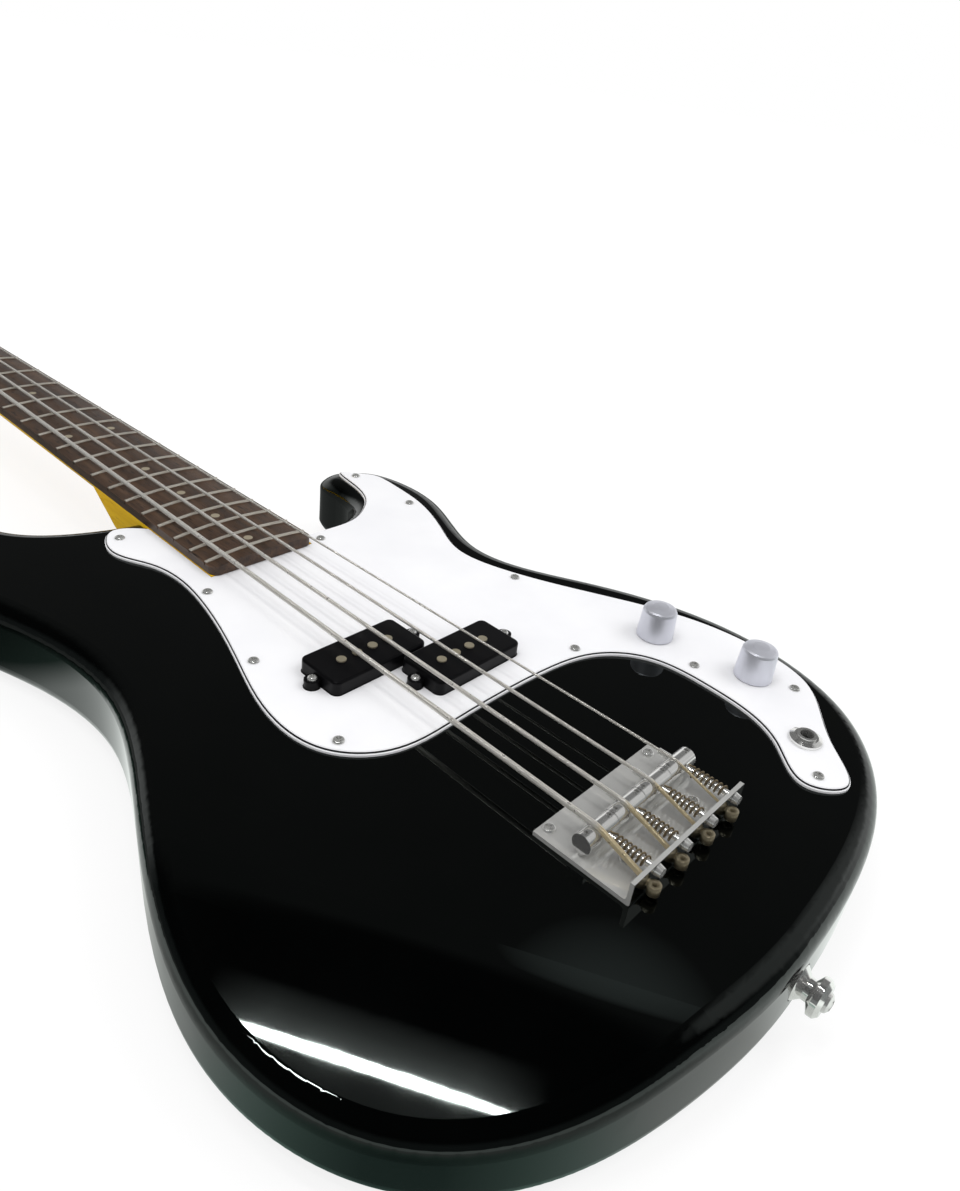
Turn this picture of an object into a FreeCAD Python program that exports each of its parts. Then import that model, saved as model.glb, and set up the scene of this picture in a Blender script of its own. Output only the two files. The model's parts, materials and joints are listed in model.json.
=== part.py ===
import FreeCAD, Part
import math
import os
import Sketcher

# Electric bass guitar lying on its back. Millimetres.
# Origin: centre line, under the bridge saddles, on the flat back of the body.
# +X to the treble side, +Y to the headstock, +Z up through the face.

doc = FreeCAD.newDocument("bass_guitar")

DIMENSIONS = (
    # Body
    ("half_width", 170.0),
    ("front_reach", 425.0),
    ("tail_reach", 82.0),
    ("body_thick", 44.5),
    ("edge_round", 10.0),
    ("arm_angle", 12.0),
    ("arm_blend", 90.0),
    ("overrun", 2.0),
    # Neck, headstock and fingerboard
    ("scale_length", 863.6),
    ("pocket_depth", 16.0),
    ("pocket_fit", 0.1),
    ("heel_length", 90.0),
    ("heel_width", 65.0),
    ("heel_round", 8.0),
    ("heel_overhang", 17.0),
    ("heel_ramp", 26.0),
    ("nut_width", 42.0),
    ("neck_side", 0.6),
    ("neck_depth_heel", 17.5),
    ("neck_depth_nut", 15.5),
    ("board_lift", 0.4),
    ("board_thick", 7.0),
    ("board_radius", 241.0),
    ("board_margin", 8.5),
    ("board_corner", 5.0),
    ("nut_thick", 3.6),
    ("nut_rise", 1.6),
    ("nut_lip", 1.2),
    ("head_length", 208.0),
    ("head_half_width", 43.0),
    ("head_drop", 4.0),
    ("head_thick", 12.5),
    ("head_ramp", 9.0),
    ("truss_radius", 2.9),
    ("truss_floor", 10.0),
    ("truss_stop", 30.0),
    # Frets and dots
    ("fret_crown_width", 2.3),
    ("fret_crown_height", 1.0),
    ("fret_tang_width", 0.6),
    ("fret_tang_depth", 1.5),
    ("fret_inset", 0.6),
    ("dot_radius", 2.5),
    ("dot_depth", 1.6),
    ("dot_fit", 0.02),
    # Strings
    ("string_spacing", 19.0),
    ("nut_spacing", 10.3),
    ("string_radius_e", 1.3),
    ("string_radius_a", 1.05),
    ("string_radius_d", 0.85),
    ("string_radius_g", 0.6),
    ("string_fit", 0.12),
    ("wrap_gap", 0.5),
    ("ball_radius", 2.7),
    ("ball_height", 4.2),
    ("ball_hole", 1.1),
    # Bridge
    ("plate_width", 80.0),
    ("plate_front", 19.0),
    ("plate_back", 27.0),
    ("plate_thick", 2.0),
    ("flange_thick", 2.0),
    ("flange_bend", 1.5),
    ("flange_margin", 2.7),
    ("barrel_radius", 4.4),
    ("barrel_length", 18.6),
    ("barrel_offset", 1.9),
    ("groove_depth", 0.5),
    ("saddle_rise", 2.6),
    ("setback_e", 0.8),
    ("setback_a", 0.6),
    ("setback_d", 0.4),
    ("setback_g", 0.2),
    ("height_screw_offset", 7.2),
    ("height_screw_radius", 1.25),
    ("height_screw_proud", 0.4),
    ("height_socket_radius", 0.7),
    ("slide_gap", 0.08),
    ("running_fit", 0.06),
    ("intonation_offset", 2.7),
    ("intonation_radius", 1.5),
    ("intonation_head_radius", 2.6),
    ("intonation_head_length", 2.6),
    ("intonation_tail", 10.0),
    ("string_hole_height", 3.4),
    ("string_hole_fit", 0.6),
    ("spring_coil_radius", 2.3),
    ("spring_wire_radius", 0.4),
    ("spring_turns", 7),
    # Pickguard and its screws
    ("guard_thick", 2.4),
    ("guard_bevel", 1.4),
    ("guard_fit", 0.4),
    ("guard_screw_radius", 1.4),
    ("guard_screw_length", 11.0),
    ("guard_head_radius", 2.8),
    ("guard_head_height", 1.2),
    ("screw_fit", 0.05),
    # Pickups
    ("pickup_bass_place", 143.0),
    ("pickup_treble_place", 114.5),
    ("pickup_half_gap", 18.5),
    ("pickup_length", 56.0),
    ("pickup_width", 27.0),
    ("pickup_rise", 7.2),
    ("pickup_sink", 7.0),
    ("pickup_corner", 3.5),
    ("pickup_edge", 1.2),
    ("pickup_wall", 1.6),
    ("pickup_cavity_depth", 20.0),
    ("pickup_cavity_gap", 2.0),
    ("ear_radius", 3.8),
    ("ear_reach", 2.7),
    ("ear_rise", 4.0),
    ("pole_radius", 2.4),
    ("pole_spread", 9.4),
    ("pole_proud", 0.6),
    ("bobbin_thick", 1.5),
    ("bobbin_gap", 1.2),
    ("coil_band", 4.0),
    ("pickup_screw_radius", 1.4),
    ("pickup_screw_bite", 8.0),
    ("pickup_head_radius", 2.2),
    ("pickup_head_height", 1.4),
    # Controls and jack
    ("cavity_depth", 30.0),
    ("cavity_radius", 14.0),
    ("jack_cavity_radius", 12.5),
    ("channel_half", 5.0),
    ("channel_depth", 18.0),
    ("pot_radius", 8.5),
    ("pot_height", 9.0),
    ("pot_bushing_radius", 4.6),
    ("pot_bushing_proud", 5.0),
    ("pot_nut_radius", 6.4),
    ("pot_nut_height", 2.2),
    ("shaft_radius", 3.0),
    ("shaft_proud", 13.0),
    ("knob_base_radius", 9.8),
    ("knob_top_radius", 9.0),
    ("knob_height", 16.5),
    ("knob_crown", 1.2),
    ("knob_edge", 1.6),
    ("knob_gap", 0.6),
    ("knob_hollow_radius", 7.4),
    ("knob_hollow_depth", 6.0),
    ("jack_bore_radius", 3.25),
    ("jack_barrel_radius", 4.7),
    ("jack_barrel_proud", 3.4),
    ("jack_body_radius", 9.0),
    ("jack_body_thick", 1.8),
    ("jack_leaf_width", 5.0),
    ("jack_leaf_thick", 0.8),
    ("jack_leaf_length", 15.0),
    ("jack_nut_radius", 7.6),
    ("jack_nut_height", 2.4),
    ("jack_nut_bevel", 1.0),
    ("capacitor_radius", 4.5),
    ("capacitor_thick", 3.0),
    ("wire_radius", 0.8),
    ("wire_bend", 2.5),
    ("wire_level", 13.5),
    # Neck plate and strap buttons
    ("joint_plate_length", 64.0),
    ("joint_plate_width", 51.0),
    ("joint_plate_thick", 2.4),
    ("joint_plate_corner", 5.0),
    ("joint_plate_inset", 9.0),
    ("joint_screw_margin", 6.7),
    ("joint_screw_radius", 2.3),
    ("joint_head_radius", 4.2),
    ("joint_screw_bite", 13.0),
    ("button_base_radius", 7.5),
    ("button_waist_radius", 4.6),
    ("button_rim_radius", 8.0),
    ("button_base_thick", 2.0),
    ("button_waist_length", 6.0),
    ("button_rim_thick", 4.0),
    ("button_screw_radius", 2.2),
    ("button_screw_bite", 22.0),
    ("button_head_radius", 4.2),
    ("button_head_height", 2.2),
    ("button_seat_sink", 1.2),
    # Tuners
    ("post_start_across", -22.5),
    ("post_start_along", 38.0),
    ("post_step_across", 10.0),
    ("post_step_along", 43.0),
    ("post_radius", 6.0),
    ("post_neck_radius", 3.6),
    ("post_top_room", 3.6),
    ("post_slot_width", 2.6),
    ("post_slot_depth", 4.0),
    ("wrap_rise", 4.6),
    ("wrap_turns", 2),
    ("bushing_radius", 6.0),
    ("bushing_flange_radius", 8.6),
    ("bushing_flange_thick", 1.8),
    ("bushing_depth", 9.0),
    ("tuner_plate_thick", 1.6),
    ("tuner_plate_width", 22.0),
    ("tuner_plate_back", 17.0),
    ("tuner_plate_front", 14.0),
    ("tuner_case_width", 19.0),
    ("tuner_case_back", 9.0),
    ("tuner_case_depth", 10.5),
    ("tuner_case_round", 3.0),
    ("tuner_sleeve_radius", 4.2),
    ("tuner_sleeve_length", 4.0),
    ("key_offset", 6.2),
    ("key_drop", 6.6),
    ("key_shaft_radius", 2.4),
    ("key_shaft_depth", 9.0),
    ("key_shaft_proud", 9.0),
    ("key_length", 22.0),
    ("key_width", 26.0),
    ("key_thick", 6.5),
    ("key_round", 2.2),
    ("key_collar_radius", 4.0),
    ("key_collar_length", 3.0),
    ("tuner_screw_radius", 1.2),
    ("tuner_screw_bite", 8.0),
    ("tuner_head_radius", 2.2),
    ("tuner_head_height", 1.2),
    ("tuner_screw_margin", 3.6),
    ("tree_radius", 6.0),
    ("tree_thick", 1.8),
    ("tree_stem_radius", 2.4),
    ("tree_place", 58.0),
    ("tree_screw_radius", 1.2),
    ("tree_screw_bite", 7.0),
    ("tree_head_radius", 2.4),
    ("tree_head_height", 1.2),
)

STRINGS = ("e", "a", "d", "g")
FRET_COUNT = 21
SINGLE_DOTS = (3, 5, 7, 9, 15, 17, 19, 21)
DOUBLE_DOT = 12
OUTLINE_PIECES = 8

# Outlines, in shares of the half width across, and along in shares of the
# front reach ahead of the saddles and of the tail reach behind them.
TREBLE_SIDE_SHARES = (
    (0.0, -1.0), (0.36, -0.945), (0.66, -0.75), (0.87, -0.39), (0.995, 0.08), (0.84, 0.305),
    (0.70, 0.455), (0.76, 0.53), (0.84, 0.61), (0.848, 0.68), (0.796, 0.741), (0.706, 0.773),
    (0.648, 0.785), (0.602, 0.777), (0.578, 0.756), (0.571, 0.722), (0.557, 0.689), (0.506, 0.657),
    (0.40, 0.633),
)
BASS_SIDE_SHARES = (
    (-0.30, 0.797), (-0.50, 0.842), (-0.59, 0.925), (-0.615, 0.967), (-0.641, 0.990), (-0.70, 1.0),
    (-0.759, 0.990), (-0.80, 0.965), (-0.86, 0.88), (-0.80, 0.73), (-0.715, 0.62), (-0.685, 0.48),
    (-0.845, 0.30), (-0.995, 0.09), (-0.88, -0.32), (-0.67, -0.70), (-0.36, -0.92),
)
HORN_TIP_SHARE = (-0.70, 1.0)
# How far the neck heel reaches, and the tongue that carries it, along the body.
HEEL_TIP_SHARE = 0.80
TONGUE_SHARES = (0.628, 0.658, 0.75)
GUARD_SHARES = (
    (-0.338, 0.742), (-0.285, 0.765), (-0.16, 0.735), (0.16, 0.617), (0.30, 0.612), (0.432, 0.6155),
    (0.512, 0.633), (0.575, 0.657), (0.615, 0.695), (0.632, 0.735), (0.65, 0.754), (0.70, 0.738),
    (0.748, 0.717), (0.758, 0.67), (0.735, 0.60), (0.66, 0.525),
    (0.588, 0.455), (0.615, 0.388), (0.757, 0.266), (0.895, 0.14), (0.917, 0.07), (0.868, -0.09),
    (0.65, -0.47), (0.50, -0.675), (0.435, -0.52), (0.525, -0.24), (0.603, 0.057), (0.577, 0.137),
    (0.473, 0.179), (0.28, 0.198), (-0.10, 0.20), (-0.30, 0.208), (-0.42, 0.25), (-0.445, 0.325),
    (-0.38, 0.42), (-0.295, 0.54), (-0.30, 0.66),
)
GUARD_SCREW_SHARES = (
    (-0.292, 0.738), (-0.25, 0.56), (-0.345, 0.41), (-0.375, 0.25), (0.24, 0.592), (0.676, 0.726),
    (0.69, 0.607), (0.60, 0.36), (0.43, 0.203), (0.655, 0.09), (0.80, -0.07), (0.485, -0.53),
)
VOLUME_SHARE = (0.697, 0.159)
TONE_SHARE = (0.756, 0.033)
JACK_SHARE = (0.60, -0.34)
ARM_CREASE_SHARES = ((-0.85, 0.21), (-0.36, -0.90))
# Headstock outline, in shares of its half width across and of its length past the nut.
HEAD_SHARES = (
    (0.50, 0.04), (0.74, 0.17), (0.80, 0.45), (0.77, 0.78), (0.62, 0.94), (0.30, 1.0),
    (-0.03, 0.95), (-0.33, 0.77), (-0.62, 0.52), (-0.90, 0.26), (-1.0, 0.13), (-0.86, 0.045),
    (-0.60, 0.0),
)
# A cross recess, long and short, in shares of the screw head's radius.
RECESS_SHARES = (0.58, 0.15)
BRIDGE_SCREW_SHARES = ((-0.43, 0.82), (0.43, 0.82), (-0.30, -0.52), (0.0, -0.52), (0.30, -0.52))

UP = FreeCAD.Vector(0, 0, 1)
DOWN = FreeCAD.Vector(0, 0, -1)
AHEAD = FreeCAD.Vector(0, 1, 0)
BEHIND = FreeCAD.Vector(0, -1, 0)
ACROSS = FreeCAD.Vector(1, 0, 0)


class Size(float):
    """A number that keeps the sheet formula it comes from."""

    def __new__(cls, value, text):
        size = super().__new__(cls, value)
        size.text = text
        return size

    def __add__(self, other):
        return Size(float(self) + float(other), "({} + {})".format(self.text, text_of(other)))

    def __radd__(self, other):
        return Size(float(other) + float(self), "({} + {})".format(text_of(other), self.text))

    def __sub__(self, other):
        return Size(float(self) - float(other), "({} - {})".format(self.text, text_of(other)))

    def __rsub__(self, other):
        return Size(float(other) - float(self), "({} - {})".format(text_of(other), self.text))

    def __mul__(self, other):
        return Size(float(self) * float(other), "({} * {})".format(self.text, text_of(other)))

    __rmul__ = __mul__

    def __truediv__(self, other):
        return Size(float(self) / float(other), "({} / {})".format(self.text, text_of(other)))

    def __neg__(self):
        return Size(-float(self), "(0 - {})".format(self.text))


def text_of(number):
    return number.text if isinstance(number, Size) else "({!r})".format(float(number))


class Sizes:
    """The cells of the sheet by their names."""


def read_sheet():
    sheet = doc.addObject("Spreadsheet::Sheet", "dims")
    sizes = Sizes()
    for row, (name, value) in enumerate(DIMENSIONS, start=1):
        sheet.set("A{}".format(row), name)
        sheet.set("B{}".format(row), str(value))
        sheet.setAlias("B{}".format(row), name)
        setattr(sizes, name, Size(value, "dims." + name))
    doc.recompute()
    return sizes


d = read_sheet()
nodes = []

# Levels through the thickness
top = d.body_thick
pocket_floor = top - d.pocket_depth
guard_top = top + d.guard_thick
neck_top = guard_top + d.board_lift
heel_thick = neck_top - pocket_floor
board_top = neck_top + d.board_thick
plate_top = top + d.plate_thick
head_face = neck_top - d.head_drop
head_back = head_face - d.head_thick
nut_seat = board_top + d.nut_rise
saddle_seat = board_top + d.saddle_rise
barrel_level = saddle_seat + d.groove_depth - d.barrel_radius

# Places along the strings
heel_half = d.heel_width / 2
nut_half = d.nut_width / 2
nut_back = d.scale_length + d.nut_thick
heel_tip = d.front_reach * HEEL_TIP_SHARE
heel_end = heel_tip - d.heel_length
ramp_start = heel_tip + d.heel_overhang
ramp_end = ramp_start + d.heel_ramp
flange_face = d.flange_thick - d.plate_back


def neck_half(along):
    """Half the neck's width at a place along the strings."""
    taper = (heel_half - nut_half) / (d.scale_length - heel_end)
    return nut_half + taper * (d.scale_length - along)


def fret_place(number):
    return d.scale_length * 2 ** (-number / 12)


board_end = fret_place(FRET_COUNT) - d.board_margin


def outline_point(share):
    """A point of the body's face from its shares across and along."""
    reach = d.front_reach if share[1] >= 0 else d.tail_reach
    return d.half_width * share[0], reach * share[1]


def string_size(name):
    return getattr(d, "string_radius_" + name)


def string_line(index):
    """Where a string crosses the saddles and the nut."""
    return d.string_spacing * (index - 1.5), d.nut_spacing * (index - 1.5)


# Shared building steps


def bind(thing, name, value):
    """Bind a property to its sheet formula."""
    if isinstance(value, Size):
        thing.setExpression(name, value.text)


def place(thing, at, along=UP, turn=0.0):
    """Stand a piece at a point, with its own Z along a direction."""
    rotation = FreeCAD.Rotation(UP, along).multiply(FreeCAD.Rotation(UP, turn))
    thing.Placement = FreeCAD.Placement(FreeCAD.Vector(*at), rotation)
    for axis, value in zip("xyz", at):
        bind(thing, "Placement.Base." + axis, value)
    return thing


def rod(name, radius, length, at, along=UP):
    piece = doc.addObject("Part::Cylinder", name)
    bind(piece, "Radius", radius)
    bind(piece, "Height", length)
    return place(piece, at, along)


def cone(name, low, high, length, at, along=UP):
    piece = doc.addObject("Part::Cone", name)
    bind(piece, "Radius1", low)
    bind(piece, "Radius2", high)
    bind(piece, "Height", length)
    return place(piece, at, along)


def block(name, spans, at):
    """A box from its low corner."""
    piece = doc.addObject("Part::Box", name)
    for side, span in zip(("Length", "Width", "Height"), spans):
        bind(piece, side, span)
    return place(piece, at)


def torus(name, ring, section, at, along):
    piece = doc.addObject("Part::Torus", name)
    bind(piece, "Radius1", ring)
    bind(piece, "Radius2", section)
    return place(piece, at, along)


def fuse(name, pieces):
    whole = doc.addObject("Part::MultiFuse", name)
    whole.Shapes = pieces
    whole.Refine = True
    return whole


def cut(name, base, tools):
    whole = doc.addObject("Part::Cut", name)
    whole.Base = base
    whole.Tool = tools[0] if len(tools) == 1 else fuse(name + "_tool", tools)
    return whole


def group(name, pieces):
    whole = doc.addObject("Part::Compound", name)
    whole.Links = pieces
    return whole


def node(name, piece):
    piece.Label = name
    nodes.append(piece)
    return piece


def cross_bars(at, outward, head, depth):
    """Two bars that cut a cross recess into a screw head, from the middle of its top."""
    rotation = FreeCAD.Rotation(UP, outward)
    floor = FreeCAD.Vector(*at) - outward * depth
    bars = []
    for across, along in (RECESS_SHARES, reversed(RECESS_SHARES)):
        corner = floor + rotation.multVec(FreeCAD.Vector(-head * across, -head * along, 0))
        bar = block("recess", (head * across * 2, head * along * 2, depth + d.overrun), corner)
        bars.append(place(bar, corner, outward))
    return bars


def screw(name, at, along, head, shank):
    """A screw with its head below the point and its shank going in along a direction."""
    outward = along * -1
    seat = FreeCAD.Vector(*at)
    rim = cone(name + "_rim", head[0], head[0] * 0.9, head[1] * 0.5, at, outward)
    shoulder = seat + outward * (head[1] * 0.5)
    crown = cone(name + "_crown", head[0] * 0.9, head[0] * 0.5, head[1] * 0.5, shoulder, outward)
    stem = rod(name + "_shank", shank[0], shank[1], at, along)
    whole = fuse(name + "_blank", [rim, crown, stem])
    return cut(name, whole, cross_bars(seat + outward * head[1], outward, head[0], head[1] * 0.7))


def screw_set(name, level, places, head, shank, heads_up=True):
    """Screws with domed heads and cross recesses, all driven from one level."""
    body = new_body(name)
    body.AllowCompound = True
    drawing = sketch(body, "XY_Plane", level)
    for x, y in places:
        ring(drawing, x, y, shank[0])
    pad(body, drawing, shank[1], "shanks", upward=not heads_up)
    drawing = sketch(body, "XY_Plane", level)
    for x, y in places:
        ring(drawing, x, y, head[0])
    caps = pad(body, drawing, head[1], "heads", upward=heads_up)
    crown = level + head[1] if heads_up else level - head[1]
    round_edges(body, caps, head[1] * 0.85, lambda edge: flat_at(edge, crown), "domes")
    for across, along in (RECESS_SHARES, reversed(RECESS_SHARES)):
        drawing = sketch(body, "XY_Plane", crown)
        wide = head[0] * across
        deep = head[0] * along
        for x, y in places:
            plain_loop(drawing, box_corners(x - wide, x + wide, y - deep, y + deep))
        pocket(body, drawing, head[1] * 0.7, "recesses", downward=heads_up)
    return body


def new_body(name):
    return doc.addObject("PartDesign::Body", name)


def sketch(body, role, lift=0):
    drawing = body.newObject("Sketcher::SketchObject", "drawing")
    plane = next(item for item in body.Origin.OriginFeatures if item.Role == role)
    drawing.AttachmentSupport = [(plane, "")]
    drawing.MapMode = "FlatFace"
    bind(drawing, "AttachmentOffset.Base.z", lift)
    return drawing


def pin(drawing, line, end, x, y):
    """Tie a point of a sketch to its sheet formulas."""
    for kind, value, axis in (("DistanceX", x, -2), ("DistanceY", y, -1)):
        if value == 0:
            drawing.addConstraint(Sketcher.Constraint("PointOnObject", line, end, axis))
        else:
            index = drawing.addConstraint(Sketcher.Constraint(kind, -1, 1, line, end, float(value)))
            bind(drawing, "Constraints[{}]".format(index), value)


def loop(drawing, corners):
    """A closed run of straight lines with every corner tied."""
    spots = [FreeCAD.Vector(x, y, 0) for x, y in corners]
    pairs = zip(spots, spots[1:] + spots[:1])
    lines = [drawing.addGeometry(Part.LineSegment(start, end)) for start, end in pairs]
    for line, after in zip(lines, lines[1:] + lines[:1]):
        drawing.addConstraint(Sketcher.Constraint("Coincident", line, 2, after, 1))
    for line, corner in zip(lines, corners):
        pin(drawing, line, 1, corner[0], corner[1])


def plain_loop(drawing, corners):
    """A closed run of straight lines, for many small cuts of one kind."""
    spots = [FreeCAD.Vector(x, y, 0) for x, y in corners]
    for start, end in zip(spots, spots[1:] + spots[:1]):
        drawing.addGeometry(Part.LineSegment(start, end))


def box_corners(low_x, high_x, low_y, high_y):
    return ((low_x, low_y), (high_x, low_y), (high_x, high_y), (low_x, high_y))


def ring(drawing, x, y, radius):
    circle = drawing.addGeometry(Part.Circle(FreeCAD.Vector(x, y, 0), UP, float(radius)))
    pin(drawing, circle, 3, x, y)
    index = drawing.addConstraint(Sketcher.Constraint("Radius", circle, float(radius)))
    bind(drawing, "Constraints[{}]".format(index), radius)


def arc_cap(drawing, corners, bulge, radius):
    """Straight lines through the corners, closed from last to first by an arc past bulge."""
    spots = [FreeCAD.Vector(x, y, 0) for x, y in corners]
    middle = FreeCAD.Vector(*bulge, 0)
    lines = [drawing.addGeometry(Part.LineSegment(a, b)) for a, b in zip(spots, spots[1:])]
    leftward = (middle - spots[-1]).cross(spots[0] - middle).z > 0
    ends = (spots[-1], spots[0]) if leftward else (spots[0], spots[-1])
    arc = drawing.addGeometry(Part.Arc(ends[0], middle, ends[1]))
    for line, after in zip(lines, lines[1:]):
        drawing.addConstraint(Sketcher.Constraint("Coincident", line, 2, after, 1))
    for line, corner in zip(lines, corners):
        pin(drawing, line, 1, corner[0], corner[1])
    pin(drawing, lines[-1], 2, corners[-1][0], corners[-1][1])
    drawing.addConstraint(Sketcher.Constraint("Coincident", lines[-1], 2, arc, 1 if leftward else 2))
    drawing.addConstraint(Sketcher.Constraint("Coincident", lines[0], 1, arc, 2 if leftward else 1))
    index = drawing.addConstraint(Sketcher.Constraint("Radius", arc, float(radius)))
    bind(drawing, "Constraints[{}]".format(index), radius)


def bow_radius(half_chord, rise):
    """Radius of an arc from half its chord and its rise."""
    return (half_chord * half_chord + rise * rise) / (rise * 2)


def smooth_loop(drawing, points):
    """A closed smooth outline through the points, laid down in a few pieces."""
    curve = Part.BSplineCurve()
    curve.interpolate(Points=[FreeCAD.Vector(x, y, 0) for x, y in points], PeriodicFlag=True)
    marks = curve.getKnots()
    count = min(OUTLINE_PIECES, len(points) // 2)
    ends = [marks[round(n * (len(marks) - 1) / count)] for n in range(count + 1)]
    for start, end in zip(ends, ends[1:]):
        piece = curve.copy()
        piece.segment(start, end)
        drawing.addGeometry(piece)


def pad(body, drawing, length, name="pad", upward=True):
    feature = body.newObject("PartDesign::Pad", name)
    feature.Profile = drawing
    feature.Reversed = not upward
    bind(feature, "Length", length)
    return feature


def pocket(body, drawing, depth, name="pocket", downward=True):
    feature = body.newObject("PartDesign::Pocket", name)
    feature.Profile = drawing
    feature.Reversed = not downward
    bind(feature, "Length", depth)
    return feature


def round_edges(body, base, radius, wanted, name="round", kind="Fillet", size="Radius"):
    """Fillet or chamfer the edges of a feature that pass a test."""
    doc.recompute()
    names = ["Edge{}".format(n) for n, edge in enumerate(base.Shape.Edges, start=1) if wanted(edge)]
    feature = body.newObject("PartDesign::" + kind, name)
    feature.Base = (base, names)
    bind(feature, size, radius)
    return feature


def turned(name, outline, at, along=UP):
    """A piece turned about its own Z from an outline of radius and height."""
    body = new_body(name)
    drawing = sketch(body, "XZ_Plane")
    loop(drawing, outline)
    turn = body.newObject("PartDesign::Revolution", "turn")
    turn.Profile = drawing
    turn.ReferenceAxis = (drawing, ["V_Axis"])
    turn.Angle = 360
    return place(body, at, along)


def flat_at(edge, level):
    return all(abs(spot.Point.z - level) < 1e-4 for spot in edge.Vertexes) and abs(
        edge.CenterOfMass.z - level) < 1e-4


def upright(edge):
    line = edge.Curve
    return isinstance(line, Part.Line) and abs(line.Direction.z) > 1 - 1e-6


def at_corner(edge, centre, reach, half):
    """Whether an upright edge stands at a corner of a box round a centre."""
    middle = edge.CenterOfMass
    off = abs(abs(middle.x - centre[0]) - reach) + abs(abs(middle.y - centre[1]) - half)
    return upright(edge) and off < 1e-3


# Tubes on arcs, for strings, springs and wires


def biarc(start, along, end, onward):
    """Two arcs, or one line, from a point and its direction to another."""
    chord = end - start
    if along.cross(chord).Length < 1e-9 * chord.Length and along.cross(onward).Length < 1e-9:
        return [Part.LineSegment(start, end).toShape()]
    both = along + onward
    spread = 2 * (1 - along.dot(onward))
    reach = chord.dot(both)
    if spread < 1e-9:
        length = chord.dot(chord) / (2 * reach)
    else:
        length = (math.sqrt(reach * reach + spread * chord.dot(chord)) - reach) / spread
    meeting = (start + along * length + end - onward * length) * 0.5
    return [arc_from(start, along, meeting), arc_from(end, onward * -1, meeting)]


def arc_from(start, along, end):
    """The arc that leaves start in a direction and reaches end."""
    chord = end - start
    length = chord.Length
    cosine = max(-1.0, min(1.0, along.dot(chord) / length))
    lean = math.acos(cosine)
    if lean < 1e-6:
        return Part.LineSegment(start, end).toShape()
    side = (along - chord * (cosine / length)).normalize()
    middle = start + chord * 0.5 + side * (0.5 * length * math.tan(lean / 2))
    return Part.Arc(start, middle, end).toShape()


def route(stations):
    edges = []
    for (start, along), (end, onward) in zip(stations, stations[1:]):
        edges += biarc(start, along, end, onward)
    return Part.Wire(Part.sortEdges(edges)[0])


def tube(stations, radius):
    """A round tube along stations, each a point and a unit direction."""
    path = route(stations)
    section = Part.Wire([Part.Circle(stations[0][0], stations[0][1], float(radius)).toShape()])
    shape = path.makePipeShell([section], True, False)
    if shape.ShapeType != "Solid":
        shape = shape.Solids[0]
    expected = path.Length * math.pi * float(radius) ** 2
    if abs(shape.Volume / expected - 1) > 0.02:
        raise RuntimeError("tube volume {} is not {}".format(shape.Volume, expected))
    return shape


def least_gap(stations, radius, apart):
    """The least gap between parts of a tube more than a length apart along it."""
    path = route(stations)
    count = int(path.Length / float(radius))
    spots = path.discretize(Number=max(count, 20))
    step = path.Length / (len(spots) - 1)
    skip = int(float(apart) / step) + 1
    gaps = [a.distanceToPoint(b) for n, a in enumerate(spots) for b in spots[n + skip:]]
    return min(gaps) - 2 * float(radius)


def shaped(name, shape):
    """A piece whose shape is made by hand from the sheet's sizes."""
    piece = doc.addObject("Part::Feature", name)
    piece.Shape = shape
    return piece


# Wood


def body_outline_points():
    """The body's outline, with the tongue that carries the neck's heel."""
    tongue = heel_half - d.pocket_fit
    end = heel_tip - d.heel_round
    root, beside, near = (d.front_reach * share for share in TONGUE_SHARES)
    points = [outline_point(share) for share in TREBLE_SIDE_SHARES]
    points += [
        (tongue + d.heel_round / 2, root),
        (tongue, beside),
        (tongue - d.heel_round / 4, near),
        (heel_half * 0.5, end),
        (-heel_half * 0.5, end + d.heel_round / 8),
    ]
    points += [outline_point(share) for share in BASS_SIDE_SHARES]
    return points


def heel_corners(gap, end):
    """The heel's plan, with a gap round it, out to a place along the neck."""
    start = heel_end - gap
    return (
        (-(neck_half(start) + gap), start),
        (neck_half(start) + gap, start),
        (neck_half(end) + gap, end),
        (-(neck_half(end) + gap), end),
    )


def joint_screw_places():
    """The four neck screws, in a rectangle inside the neck plate's edge."""
    across = d.joint_plate_width / 2 - d.joint_screw_margin
    low = heel_end + d.joint_plate_inset + d.joint_screw_margin
    high = heel_end + d.joint_plate_inset + d.joint_plate_length - d.joint_screw_margin
    return [(side * across, along) for along in (low, high) for side in (-1, 1)]


def pickup_places():
    """Centre of each pickup half: bass first."""
    return ((-d.pickup_half_gap, d.pickup_bass_place), (d.pickup_half_gap, d.pickup_treble_place))


def ear_places(place_x, place_y):
    reach = d.pickup_length / 2 + d.ear_reach
    return ((place_x - reach, place_y), (place_x + reach, place_y))


def control_places():
    return outline_point(VOLUME_SHARE), outline_point(TONE_SHARE)


def bridge_screw_places():
    places = []
    for across, along in BRIDGE_SCREW_SHARES:
        reach = d.plate_front if along > 0 else d.plate_back
        places.append((d.plate_width * across + d.barrel_offset / 2, reach * along))
    return places


def channel_corners(start, end):
    """A straight channel between two points of the face."""
    run_x = end[0] - start[0]
    run_y = end[1] - start[1]
    length = math.hypot(run_x, run_y)
    side_x = d.channel_half * (-float(run_y) / length)
    side_y = d.channel_half * (float(run_x) / length)
    return (
        (start[0] + side_x, start[1] + side_y),
        (end[0] + side_x, end[1] + side_y),
        (end[0] - side_x, end[1] - side_y),
        (start[0] - side_x, start[1] - side_y),
    )


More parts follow.
